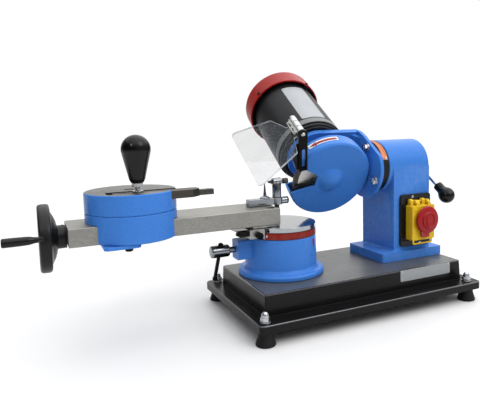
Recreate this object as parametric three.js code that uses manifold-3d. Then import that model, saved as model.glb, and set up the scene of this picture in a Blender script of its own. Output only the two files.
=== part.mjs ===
// Bench grinder for the carbide teeth of circular saw blades.
// A black base on four rubber feet carries a swivel seat with the blade arm
// (left) and an arched column with the tilting grinding head (right).
// Millimetres, +Z up, +X along the base from the swivel seat to the column,
// +Y from the operator's side to the rear. The origin is the centre of the
// underside of the front-left foot.
import * as THREE from 'three';
import { mergeVertices } from 'three/addons/utils/BufferGeometryUtils.js';
import Module from 'manifold-3d';

// ---------------------------------------------------------------- dimensions
const GAP = 0.3;                 // running and assembly clearance

const BASE = { l: 400, d: 228.5, lip0: 19, lip1: 31, top: 62.4, wall: 4,
  bx0: 20, bx1: 383, by0: 28, by1: 200.5, tx0: 21, tx1: 381, ty0: 29.5, ty1: 199 };
const FEET = [[12.5, 12.5], [379.3, 12.5], [17.5, 216], [379.3, 216]];   // front pair, rear pair
const AXIS_Y = 126.6;            // plane of the arm, the seat and the tilt axis

const SEAT = { x: 93.9, rFlange: 68, flangeTop: 70.2, r: 56.5, top: 123.1, bore: 20 };
const BOSS = { x0: 16, x1: 44, y0: 113, y1: 138, z0: 91.5, z1: 121.6 };
const CLAMP = { z: 106.5, rHead: 9.4, x0: -23.6, x1: 5.4, rShank: 4.7, rodR: 2.8, rodX: -9, lean: 0.49 };

const TABLE = { z0: 123.4, zBand0: 123.8, zBand1: 133.6, zDisc: 134, z1: 141.6, rBand: 56.4, rIn: 54.2, flat: 48.9 };
const GUIDE = { x0: 24.4, x1: 48.5, y0: 86, y1: 167, z0: 128.2, z1: 142.0, grooveX0: 31, grooveX1: 42, lockX: 38, lockZ: 133.4 };

const ARM = { x0: -221.6, x1: 77, y0: 90.7, y1: 162.5, z0: 145.3, z1: 169.7 };
const SCREW = { z: 154.8, r: 5.2, slotHalf: 8.2, slotTop: 163.2 };
const WHEEL = { x0: -255.6, x1: -240.6, r: 44.8, rIn: 33, gripR: 39, gripAt: 2.966 };

const HOLDER = { x: -136.1, r: 61.9, seam: 182.7, top: 210.2 };
const KEEPER = { x0: -185, x1: -135, y0: 68, y1: 186, z0: 140.6, z1: 145.0, boltX: -150 };
const INDEX = { y0: 86.6, y1: 111, z0: 198.2, z1: 209.0, x0: -164, x1: -58.4, tipX0: -47, tipX1: -24.6, slotX0: -173 };
const STUD = { x: -132.2, y: 95.5 };

const STOP = { y0: 118.6, y1: 130.8, z0: 170.0, z1: 181.3, x0: 37.6, x1: 101, postX: 88, postY: 124.7 };

const COL = { px0: 255.6, px1: 382.6, py0: 73.9, py1: 171.5, plateTop: 77.4,
  x0: 285, x1: 361.2, y0: 81.9, y1: 170, archR: 44.6, archX0: 277.2, archZ: 219.8 };
const LEVER = { x0: 366.5, x1: 381.5, ballX: 390, ballY: 69.7, ballZ: 166.5, ballR: 13.8 };

const SWITCH = { x0: 296, x1: 360.6, z0: 84, z1: 173, y0: 77.6,
  fx0: 306.8, fx1: 356.4, fz0: 96.4, fz1: 155.2, fy: 66, lidY: 63.6, capX: 335.6, stopX: 338.6, startX: 321.4, capZ: 130.4, capR: 23.4 };

// head: placed at the centre of the guard's face, tilted about X and then
// turned a little about Z, so that local +Y runs along the motor shaft, away
// from the wheel. The tilt hub has the same origin and tilt but no turn.
const HEAD = { x: 181.6, y: 114.3, z: 202.85, tilt: 0.5301, yaw: -0.0914 };
const PIVOT = { y: 19.18, z: 8.4 };    // tilt axis in the hub's frame
const GUARD = { r: 70.3, depth: 24.2, wall: 2.6 };
const PLATE = { y0: 67.8, y1: 77.4, r: 48.8, z1: 48.8 };
const FLANGE = { x0: 73.3, x1: 79.8, r: 50.4, cz: 6.1 };
const MOTOR = { r: 61.3, y0: 79.4, end: 238, cupR: 69.5, cup0: 227, y1: 267.6 };
const GRIND = { r: 62.5 };
const HINGE = { x: -70.4, z: 92.1, x1: -56.1, z1: 25, len: 39 };
const SHIELD_SLOPE = 0.6;

// ------------------------------------------------------------------- helpers
const wasm = await Module();
wasm.setup();

function solid(geometry) {
  const g = geometry.clone();
  g.deleteAttribute('normal');
  g.deleteAttribute('uv');
  const m = mergeVertices(g, 1e-4);
  const idx = m.index.array;
  const keep = [];
  for (let i = 0; i < idx.length; i += 3) {
    const [a, b, c] = [idx[i], idx[i + 1], idx[i + 2]];
    if (a !== b && b !== c && a !== c) keep.push(a, b, c);
  }
  return new wasm.Manifold(new wasm.Mesh({
    numProp: 3,
    vertProperties: new Float32Array(m.attributes.position.array),
    triVerts: new Uint32Array(keep),
  }));
}

function toGeometry(man) {
  const mesh = man.getMesh();
  const g = new THREE.BufferGeometry();
  const n = mesh.numProp;
  const src = mesh.vertProperties;
  const pos = new Float32Array((src.length / n) * 3);
  for (let i = 0; i < src.length / n; i++) {
    pos[3 * i] = src[n * i];
    pos[3 * i + 1] = src[n * i + 1];
    pos[3 * i + 2] = src[n * i + 2];
  }
  g.setAttribute('position', new THREE.BufferAttribute(pos, 3));
  g.setIndex(new THREE.BufferAttribute(new Uint32Array(mesh.triVerts), 1));
  g.computeVertexNormals();
  return g;
}

// segments of a full turn, fewer on small radii
const turns = (n) => Math.max(10, 2 * Math.round(n * 0.26));

const add = (...s) => s.reduce((a, b) => a.add(b));
const cut = (a, ...s) => s.reduce((r, b) => r.subtract(b), a);

function box(x0, x1, y0, y1, z0, z1) {
  const g = new THREE.BoxGeometry(x1 - x0, y1 - y0, z1 - z0);
  g.translate((x0 + x1) / 2, (y0 + y1) / 2, (z0 + z1) / 2);
  return solid(g);
}

// cone or cylinder along an axis: (u, v) is its centre in the other two axes
function cone(axis, r0, r1, a0, a1, u, v, seg = 32) {
  const g = new THREE.CylinderGeometry(r1, r0, a1 - a0, turns(seg));
  g.translate(0, (a0 + a1) / 2, 0);
  if (axis === 'z') { g.rotateX(Math.PI / 2); g.translate(u, v, 0); }
  if (axis === 'x') { g.rotateZ(-Math.PI / 2); g.translate(0, u, v); }
  if (axis === 'y') g.translate(u, 0, v);
  return solid(g);
}
const rod = (axis, r, a0, a1, u, v, seg = 32) => cone(axis, r, r, a0, a1, u, v, seg);

// outline extruded along an axis: z takes (x, y), x takes (y, z), y takes (x, z)
function prism(axis, pts, a0, a1) {
  const s = new THREE.Shape(pts.map(([a, b]) => new THREE.Vector2(a, b)));
  const g = new THREE.ExtrudeGeometry(s, { depth: a1 - a0, bevelEnabled: false });
  const m = new THREE.Matrix4();
  if (axis === 'z') m.makeTranslation(0, 0, a0);
  if (axis === 'x') m.set(0, 0, 1, a0, 1, 0, 0, 0, 0, 1, 0, 0, 0, 0, 0, 1);
  if (axis === 'y') m.set(1, 0, 0, 0, 0, 0, -1, a1, 0, 1, 0, 0, 0, 0, 0, 1);
  g.applyMatrix4(m);
  return solid(g);
}

function roundRect(x0, x1, y0, y1, r, seg = 4) {
  const p = [];
  const c = [[x1 - r, y0 + r, -90], [x1 - r, y1 - r, 0], [x0 + r, y1 - r, 90], [x0 + r, y0 + r, 180]];
  for (const [cx, cy, a0] of c) {
    for (let i = 0; i <= seg; i++) {
      const a = (a0 + (90 * i) / seg) * Math.PI / 180;
      p.push([cx + r * Math.cos(a), cy + r * Math.sin(a)]);
    }
  }
  return p;
}

function arc(cx, cy, r, d0, d1, n) {
  const p = [];
  for (let i = 0; i <= n; i++) {
    const a = (d0 + ((d1 - d0) * i) / n) * Math.PI / 180;
    p.push([cx + r * Math.cos(a), cy + r * Math.sin(a)]);
  }
  return p;
}

// body of revolution: profile of [radius, height] pairs from axis to axis
function turned(axis, profile, u, v, seg = 32) {
  const g = new THREE.LatheGeometry(profile.map(([r, h]) => new THREE.Vector2(r, h)), turns(seg));
  if (axis === 'z') { g.rotateX(Math.PI / 2); g.translate(u, v, 0); }
  if (axis === 'x') { g.rotateZ(-Math.PI / 2); g.translate(0, u, v); }
  if (axis === 'y') g.translate(u, 0, v);
  return solid(g);
}

function hex(axis, flat, a0, a1, u, v, turn = 0) {
  const r = flat / Math.sqrt(3);
  const p = arc(u, v, r, 30 + turn, 330 + turn, 5);
  return prism(axis, p, a0, a1);
}

// frustum between two rectangles
function taper(b, z0, t, z1) {
  const v = [[b[0], b[2], z0], [b[1], b[2], z0], [b[1], b[3], z0], [b[0], b[3], z0],
    [t[0], t[2], z1], [t[1], t[2], z1], [t[1], t[3], z1], [t[0], t[3], z1]];
  const g = new THREE.BufferGeometry();
  g.setAttribute('position', new THREE.BufferAttribute(new Float32Array(v.flat()), 3));
  g.setIndex([0, 2, 1, 0, 3, 2, 4, 5, 6, 4, 6, 7, 0, 1, 5, 0, 5, 4, 1, 2, 6, 1, 6, 5,
    2, 3, 7, 2, 7, 6, 3, 0, 4, 3, 4, 7]);
  return solid(g);
}

const root = new THREE.Group();
const machine = new THREE.Group();
machine.position.set(-FEET[0][0], -FEET[0][1], 0);
root.add(machine);

const finish = {
  blackPaint: [0x16171a, 0.42, 0.1], blue: [0x2f6fce, 0.35, 0.1], rubber: [0x141415, 0.85, 0],
  zinc: [0xc4c7ca, 0.25, 1], chrome: [0xd9dcdf, 0.12, 1], steel: [0x9a9a96, 0.38, 1],
  darkSteel: [0x4c4a46, 0.45, 1], blackOxide: [0x1b1b1c, 0.4, 0.6], plastic: [0x111112, 0.35, 0],
  red: [0xc3201d, 0.35, 0], scaleRed: [0xb8331c, 0.4, 0], scaleCopper: [0xd2773f, 0.35, 0.4],
  yellow: [0xe6b91c, 0.45, 0], green: [0x1f8f3e, 0.45, 0], clear: [0xe8eef0, 0.06, 0],
  brass: [0xb08d43, 0.35, 1], copper: [0xa7592c, 0.4, 1], grey: [0x77787a, 0.5, 0.6],
};

function part(parent, name, man, look) {
  const [color, roughness, metalness] = finish[look];
  const material = new THREE.MeshStandardMaterial({ color, roughness, metalness });
  if (look === 'clear') { material.transparent = true; material.opacity = 0.35; }
  const mesh = new THREE.Mesh(toGeometry(man), material);
  mesh.name = name;
  parent.add(mesh);
  return mesh;
}

// ----------------------------------------------------------------- the base
{
  const b = BASE;
  const lip = prism('z', roundRect(0, b.l, 0, b.d, 9, 4), b.lip0, b.lip1);
  const raised = taper([b.bx0, b.bx1, b.by0, b.by1], b.lip1 - 1, [b.tx0, b.tx1, b.ty0, b.ty1], b.top);
  const w = b.wall;
  const hollow = taper([b.bx0 + w, b.bx1 - w, b.by0 + w, b.by1 - w], b.lip0 - 1,
    [b.tx0 + w, b.tx1 - w, b.ty0 + w, b.ty1 - w], b.top - w);
  const under = box(w, b.l - w, w, b.d - w, b.lip0 - 1, b.lip1 - w);
  let shell = add(lip, raised).subtract(hollow).subtract(under);
  // bosses for the foot bolts, shut off against the hollow lip
  const at = FEET;
  for (const [x, y] of at) {
    shell = shell.add(rod('z', 8.4, b.lip0, b.lip1 - 1, x, y, 20)).subtract(rod('z', 4.4, b.lip0 - 2, b.lip1 + 2, x, y, 16));
  }
  shell = shell.subtract(rod('z', 23, b.top - 8, b.top + 2, SEAT.x, AXIS_Y, 32));
  shell = shell.subtract(rod('y', 8.2, b.by1 - 8, b.by1 + 3, 330, 46, 20));
  part(machine, 'base_housing', shell, 'blackPaint');

  const names = ['front_left', 'front_right', 'rear_left', 'rear_right'];
  at.forEach(([x, y], i) => {
    part(machine, `foot_${names[i]}`, cut(turned('z', [[0, 0], [13.8, 0], [14.3, 2.6], [10.4, 14],
      [10.4, b.lip0 - GAP], [0, b.lip0 - GAP]], x, y, 28), rod('z', 4.4, 6, b.lip0 + 2, x, y, 16)), 'rubber');
    const nut = add(
      turned('z', [[0, 7], [4, 7], [4, b.lip1 + GAP], [7.8, b.lip1 + GAP], [7.8, b.lip1 + 1.8], [0, b.lip1 + 1.8]], x, y, 20),
      hex('z', 12.4, b.lip1 + 1.7, b.lip1 + 8, x, y),
      turned('z', [[0, b.lip1 + 7.5], [5.6, b.lip1 + 7.5], [5, b.lip1 + 12], [0, b.lip1 + 15]], x, y, 20));
    part(machine, `foot_bolt_${names[i]}`, nut, 'zinc');
  });
  const gland = add(rod('y', 7.8, b.by1 - 5, b.by1 + 1.9, 330, 46, 20), hex('y', 22, b.by1 + 1.5, b.by1 + 7, 330, 46),
    cone('y', 9.5, 7, b.by1 + 6.5, b.by1 + 16, 330, 46, 20));
  part(machine, 'cord_gland', cut(gland, rod('y', 4, b.by1 - 12, b.by1 + 20, 330, 46, 16)), 'plastic');
}

// ------------------------------------------------------ swivel seat and clamp
{
  const s = SEAT;
  const z0 = BASE.top + GAP;
  let body = turned('z', [[0, z0], [s.rFlange, z0], [s.rFlange, s.flangeTop - 1.6], [s.rFlange - 1.6, s.flangeTop],
    [s.r + 2.4, s.flangeTop + 0.4], [s.r + 0.9, s.flangeTop + 3], [s.r - 0.3, s.top - 0.8], [s.r - 1.1, s.top], [0, s.top]], s.x, AXIS_Y, 48);
  const b = BOSS;
  body = body.add(prism('x', roundRect(b.y0, b.y1, b.z0, b.z1, 2.5, 2), b.x0, b.x1));
  body = cut(body,
    rod('z', s.bore, z0 - 5, s.top + 5, s.x, AXIS_Y, 32),
    rod('z', 30, z0 - 5, z0 + 18, s.x, AXIS_Y, 32),
    rod('x', CLAMP.rShank + GAP, b.x0 - 5, s.x - 10, AXIS_Y, CLAMP.z, 20));
  part(machine, 'swivel_seat', body, 'blue');

  const c = CLAMP;
  const clampGroup = new THREE.Group();
  clampGroup.position.set(c.rodX, AXIS_Y, c.z);
  machine.add(clampGroup);
  let screw = add(
    turned('x', [[0, c.x0 - c.rodX], [c.rHead - 0.8, c.x0 - c.rodX], [c.rHead, c.x0 - c.rodX + 0.8], [c.rHead, c.x1 - c.rodX - 0.8],
      [c.rHead - 0.8, c.x1 - c.rodX], [0, c.x1 - c.rodX]], 0, 0, 28),
    rod('x', c.rShank, c.x1 - c.rodX - 1, SEAT.x - SEAT.bore - 2.2 - c.rodX, 0, 0, 20));
  // cross hole for the tommy bar, leaning back from the vertical
  const lean = (g) => { g.rotateX(c.lean); return g; };
  const hole = lean(new THREE.CylinderGeometry(c.rodR + GAP, c.rodR + GAP, 40, 18).rotateX(Math.PI / 2));
  screw = screw.subtract(solid(hole));
  part(clampGroup, 'seat_clamp_screw', screw, 'chrome');
  const bar = lean(new THREE.LatheGeometry([[0, -59], [3.4, -59], [3.9, -57], [3.9, -54.5], [c.rodR, -52.5], [c.rodR, 9.4], [4.1, 9.9],
    [4.1, 13], [2.4, 15], [0, 15]].map(([r, h]) => new THREE.Vector2(r, h)), 18).rotateX(Math.PI / 2));
  part(clampGroup, 'clamp_tommy_bar', solid(bar), 'blackOxide');
}

// ------------------------------------------------- swivel table, guide, scale
{
  const t = TABLE;
  const s = SEAT;
  const side = box(s.x - 80, t.flat, AXIS_Y - 70, AXIS_Y + 70, t.z0 - 1, t.z1 + 1);
  let table = add(
    rod('z', s.bore - 1, 84, t.z1 - 1, s.x, AXIS_Y, 32),
    rod('z', t.rIn - GAP, t.z0, t.z1 - 2, s.x, AXIS_Y, 48),
    turned('z', [[0, t.zDisc], [t.rBand, t.zDisc], [t.rBand, t.z1 - 1], [t.rBand - 1, t.z1], [0, t.z1]], s.x, AXIS_Y, 56));
  // a recess keeps the clamp shoe's ring clear, the flat side seats the guide
  table = cut(table, side, rod('z', 8, 80, 110, s.x, AXIS_Y, 20));
  part(machine, 'swivel_table', table, 'chrome');
  const band = cut(rod('z', t.rBand, t.zBand0, t.zBand1, s.x, AXIS_Y, 56), rod('z', t.rIn, t.zBand0 - 1, t.zBand1 + 1, s.x, AXIS_Y, 48),
    box(s.x - 80, t.flat + 1.2, AXIS_Y - 70, AXIS_Y + 70, t.z0 - 1, t.z1 + 1));
  part(machine, 'swivel_scale', band, 'scaleRed');
  part(machine, 'swivel_bolt', add(rod('z', 26, 74, 79, s.x, AXIS_Y, 32), hex('z', 24, 67, 74.5, s.x, AXIS_Y), rod('z', 7.6, 78, 104, s.x, AXIS_Y, 20)), 'zinc');

  const g = GUIDE;
  // the dovetail groove opens to the rear and is closed in front
  let guide = cut(box(g.x0, g.x1, g.y0, g.y1, g.z0, g.z1),
    prism('y', [[g.grooveX0 - 3.5, g.z1 - 8.5], [g.grooveX1 + 3.5, g.z1 - 8.5], [g.grooveX1, g.z1 + 1], [g.grooveX0, g.z1 + 1]], g.y0 + 5.4, g.y1 + 1),
    rod('y', 3.1, g.y0 - 1, g.y0 + 3.6, g.lockX, g.lockZ, 16));
  part(machine, 'slide_guide', guide, 'steel');
  part(machine, 'guide_lock_screw', add(
    turned('y', [[0, g.y0 - 8.8], [4.2, g.y0 - 8.8], [4.9, g.y0 - 8.1], [4.9, g.y0 - 0.8], [4.4, g.y0 - GAP], [0, g.y0 - GAP]], g.lockX, g.lockZ, 20),
    rod('y', 2.8, g.y0 - 2, g.y0 + 3, g.lockX, g.lockZ, 16)), 'blackOxide');
}

// ------------------------------------------------------- carriage and arm bar
{
  const g = GUIDE;
  const a = ARM;
  const key = prism('y', [[g.grooveX0 - 3.5 + 0.5, g.z1 - 8.5 + GAP], [g.grooveX1 + 3.5 - 0.5, g.z1 - 8.5 + GAP],
    [g.grooveX1 - 0.5, g.z1 + 0.6], [g.grooveX0 + 0.5, g.z1 + 0.6]], g.y0 + 18, g.y1 - 14);
  const plate = box(g.x0 + 7.6, 76, a.y0 + 0.5, a.y1 - 0.5, g.z1 + 0.5, a.z0 - GAP);
  part(machine, 'feed_carriage', cut(add(plate, key), rod('z', 3, g.z1 - 12, a.z0 + 1, 36.5, AXIS_Y, 16)), 'steel');

  let bar = box(a.x0, a.x1, a.y0, a.y1, a.z0, a.z1);
  bar = cut(bar,
    box(a.x0 + 8, -40, AXIS_Y - SCREW.slotHalf, AXIS_Y + SCREW.slotHalf, a.z0 - 1, SCREW.slotTop),
    rod('x', 4.4, a.x0 - 1, a.x0 + 10, AXIS_Y, SCREW.z, 20),
    rod('z', 6.2, a.z0 + 6, a.z1 + 1, 66.2, 102.6, 24),
    rod('z', 7, a.z1 - 1.2, a.z1 + 1, 66.2, 138.5, 24));
  part(machine, 'arm_bar', bar, 'steel');
}

// ------------------------------------------------- lead screw and handwheel
{
  const a = ARM;
  const z = SCREW.z;
  const screw = add(rod('x', SCREW.r, a.x0 + 8.4, -42, AXIS_Y, z, 20), rod('x', 4, -250, a.x0 + 9, AXIS_Y, z, 20));
  part(machine, 'lead_screw', screw, 'steel');
  const w = WHEEL;
  // dished web bulging towards the arm, with the hub running up to its end
  let wheel = turned('x', [[0, -251], [11, -251], [13, -246], [28, -247.5], [w.rIn, w.x0 + 1], [w.r - 3, w.x0], [w.r, w.x0 + 3], [w.r, w.x1 - 3], [w.r - 3, w.x1],
    [w.rIn - 1, w.x1], [27, -235.4], [16.6, -231], [15.4, -230], [15.4, a.x0 - GAP], [0, a.x0 - GAP]], AXIS_Y, z, 44);
  wheel = cut(wheel, rod('x', 4 + 0.3, -260, a.x0 + 2, AXIS_Y, z, 20));
  const gy = AXIS_Y + w.gripR * Math.cos(w.gripAt);
  const gz = z + w.gripR * Math.sin(w.gripAt);
  wheel = wheel.add(turned('x', [[0, -291], [3.6, -291], [3.6, -288.5], [2.2, -288.5], [2.2, w.x0 + 6], [0, w.x0 + 6]], gy, gz, 20));
  part(machine, 'handwheel', wheel, 'plastic');
  const grip = cut(turned('x', [[0, -296.8], [4.8, -296.8], [5.7, -295.4], [5.3, -268], [3.9, -260.5], [3.8, w.x0 - GAP], [0, w.x0 - GAP]], gy, gz, 24),
    turned('x', [[0, -292], [4, -292], [4, -287.8], [2.6, -287.8], [2.6, -250], [0, -250]], gy, gz, 20));
  part(machine, 'handwheel_grip', grip, 'plastic');
}

// ---------------------------------------------------------- blade holder
{
  const h = HOLDER;
  const a = ARM;
  const saddleTop = h.seam - GAP;
  let saddle = turned('z', [[0, a.z0], [h.r - 0.6, a.z0], [h.r, a.z0 + 0.6], [h.r, saddleTop - 0.7], [h.r - 0.7, saddleTop], [0, saddleTop]], h.x, AXIS_Y, 56);
  saddle = cut(saddle, box(h.x - 80, h.x + 80, a.y0 - GAP, a.y1 + GAP, a.z0 - 5, a.z1 + GAP), rod('z', 6.4, a.z1 - 2, saddleTop + 2, h.x, AXIS_Y, 24));
  const k = KEEPER;
  const boltsY = [k.y0 + 9, k.y1 - 5];
  for (const y of boltsY) saddle = saddle.subtract(rod('z', 3.3, a.z0 - 3, 166, k.boltX, y, 16));
  // the front and rear cheeks stay joined over the bar
  part(machine, 'blade_saddle', saddle, 'blue');
  let keeper = prism('z', [[k.x0 + 3, k.y0 + 4], [k.x0 + 8, k.y0], [k.x1 - 4, k.y0], [k.x1, k.y0 + 4], [k.x1, k.y1 - 4], [k.x1 - 4, k.y1], [k.x0 + 8, k.y1], [k.x0 + 3, k.y1 - 4]], k.z0, k.z1);
  for (const y of boltsY) keeper = keeper.subtract(rod('z', 3.3, k.z0 - 3, k.z1 + 3, k.boltX, y, 16));
  part(machine, 'saddle_keeper', keeper, 'blue');
  part(machine, 'feed_nut', cut(box(-176, -148, AXIS_Y - SCREW.slotHalf + GAP, AXIS_Y + SCREW.slotHalf - GAP, k.z1 + GAP, SCREW.slotTop - GAP),
    rod('x', SCREW.r + GAP, -180, -140, AXIS_Y, SCREW.z, 20)), 'brass');
  boltsY.forEach((y, i) => part(machine, i ? 'keeper_bolt_rear' : 'keeper_bolt_front',
    add(hex('z', 10, k.z0 - 4.6, k.z0 - GAP, k.boltX, y), rod('z', 3, k.z0 - 2, 164, k.boltX, y, 16)), 'zinc'));

  let disc = turned('z', [[0, h.seam], [h.r - 0.7, h.seam], [h.r, h.seam + 0.7], [h.r, h.top - 0.6], [h.r - 0.6, h.top], [0, h.top]], h.x, AXIS_Y, 56);
  disc = add(disc, rod('z', 6, a.z1 + 1.5, h.seam + 2, h.x, AXIS_Y, 24));
  const x = INDEX;
  disc = cut(disc, box(x.slotX0, h.x + 80, x.y0 - GAP, x.y1 + GAP, x.z0 - GAP, h.top + 2),
    rod('z', 3.9, 184.4, 200, STUD.x, STUD.y, 20));
  part(machine, 'blade_disc', disc, 'blue');
  const tip = prism('z', [[-60, 97], [-50, 97.4], [x.tipX1, 97.4], [x.tipX1, 108.4], [-60, 108.4]], 198.2, 206.2);
  let bar = prism('z', [[x.x0, x.y0], [x.x1, x.y0], [x.tipX0, x.y0 + 9], [x.tipX0, x.y1], [x.x0, x.y1]], x.z0, x.z1);
  bar = cut(add(bar, tip), rod('z', 2, 190, 212, -33, 103, 16),
    prism('z', roundRect(STUD.x - 26, STUD.x + 14, STUD.y - 4.2, STUD.y + 4.2, 4.1, 4), x.z0 - 2, x.z1 + 2));
  part(machine, 'index_bar', bar, 'darkSteel');

  part(machine, 'clamp_stud', add(rod('z', 3.6, 184.8, 236, STUD.x, STUD.y, 20), rod('z', 7.4, INDEX.z1 + GAP, 212.4, STUD.x, STUD.y, 24),
    hex('z', 13.6, 217.6, 222.4, STUD.x, STUD.y)), 'zinc');
  const knob = [[0, 222.8], [8, 222.8], [10.5, 227.5], [18.9, 262.9], [19.4, 267.3], [18.2, 274], [14.6, 280.1], [8.4, 284.8], [0, 286.7]];
  part(machine, 'clamp_grip', cut(turned('z', knob, STUD.x, STUD.y, 32), rod('z', 3.9, 220, 238, STUD.x, STUD.y, 20)), 'plastic');
}

// ------------------------------------------------------------ tooth stop
{
  const s = STOP;
  const zc = (s.z0 + s.z1) / 2;
  let bar = add(box(s.x0, 78, s.y0, s.y1, s.z0 + GAP, s.z1),
    rod('x', 5.7, 77, 107, s.postY, zc + 0.15, 24), rod('z', 9, s.z0 + GAP, s.z1, s.postX, s.postY, 28),
    turned('z', [[0, s.z1 - 1], [8.2, s.z1 - 1], [8.2, s.z1 + 1], [4.4, s.z1 + 3.4], [0, s.z1 + 3.4]], 67.5, s.postY, 24),
    cone('z', 2.6, 0.8, s.z1 + 3, 205, 67.5, s.postY, 16));
  bar = cut(bar, rod('z', 4.6, s.z0 - 3, s.z1 + 3, s.postX, s.postY, 20), rod('z', 4.3, s.z0 - 3, s.z1 - 3, 50, s.postY, 16),
    box(48, 52, s.postY - 1.3, s.postY + 1.3, s.z0 - 2, s.z1 - 4));
  part(machine, 'stop_bar', bar, 'chrome');
  let post = add(rod('z', 7.3, s.z1 + GAP, 205.5, s.postX, s.postY, 28), rod('z', 4.3, 143.2, s.z1 + 2, s.postX, s.postY, 20),
    turned('x', [[0, 80.5], [5.4, 80.5], [5.8, 81], [5.8, 95], [5.4, 95.5], [0, 95.5]], s.postY, 206.4, 24));
  post = cut(post, rod('x', 3.4, 70, 110, s.postY, 206.4, 20));
  part(machine, 'stop_post', post, 'chrome');
  part(machine, 'tooth_stop', turned('x', [[0, 72.5], [1.6, 74.5], [3.1, 79], [3.1, 99], [4.6, 99.4], [4.6, 106.6], [4.2, 107.2], [0, 107.2]], s.postY, 206.4, 20), 'darkSteel');
}

// --------------------------------------------------------------- column
{
  const c = COL;
  const z0 = BASE.top + GAP;
  let col = prism('z', roundRect(c.px0, c.px1, c.py0, c.py1, 3, 2), z0, c.plateTop);
  col = add(col, prism('z', roundRect(c.x0, c.x1, c.y0, c.y1, 3, 3), c.plateTop - 1, c.archZ),
    rod('x', c.archR, c.archX0, c.x1, AXIS_Y, c.archZ, 48));
  col = cut(col,
    box(c.x0 + 9, c.x1 - 9, c.y0 + 9, c.y1 - 9, z0 - 2, 165),
    rod('x', 12.5, c.archX0 - 3, c.x1 + 3, AXIS_Y, c.archZ, 28),
    box(318, 338, c.y0 - 2, c.y0 + 12, 112, 148));
  part(machine, 'column', col, 'blue');

  const l = LEVER;
  const hub = cut(turned('x', [[0, c.x1 + 0.5], [17, c.x1 + 0.5], [17, 371], [13, l.x1], [0, l.x1]], AXIS_Y, c.archZ, 28), rod('x', 8.6, 358, l.x1 - 3, AXIS_Y, c.archZ, 24));
  const from = new THREE.Vector3(375, AXIS_Y - 8, c.archZ - 7);
  const to = new THREE.Vector3(l.ballX, l.ballY, l.ballZ);
  const dir = to.clone().sub(from).normalize();
  const len = from.distanceTo(to);
  const q = new THREE.Quaternion().setFromUnitVectors(new THREE.Vector3(0, 1, 0), dir);
  const place = (profile, seg) => {
    const g = new THREE.LatheGeometry(profile.map(([r, h]) => new THREE.Vector2(r, h)), turns(seg));
    g.applyQuaternion(q);
    g.translate(from.x, from.y, from.z);
    return solid(g);
  };
  part(machine, 'clamp_lever', add(hub, place([[0, 0], [3.7, 0], [3.7, len - 10], [0, len - 10]], 18)), 'zinc');
  const R = l.ballR;
  const ball = [[0, len - 27], [7.2, len - 27], [8.2, len - 25.6], [8.2, len - 14], [9.6, len - 9.9]];
  for (let i = 1; i <= 6; i++) {
    const a = (-46 + (136 * i) / 6) * Math.PI / 180;
    ball.push([i === 6 ? 0 : R * Math.cos(a), len + R * Math.sin(a)]);
  }
  part(machine, 'lever_ball', cut(place(ball, 24), place([[0, len - 40], [4.0, len - 40], [4.0, len - 9], [0, len - 9]], 18)), 'plastic');
}

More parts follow.
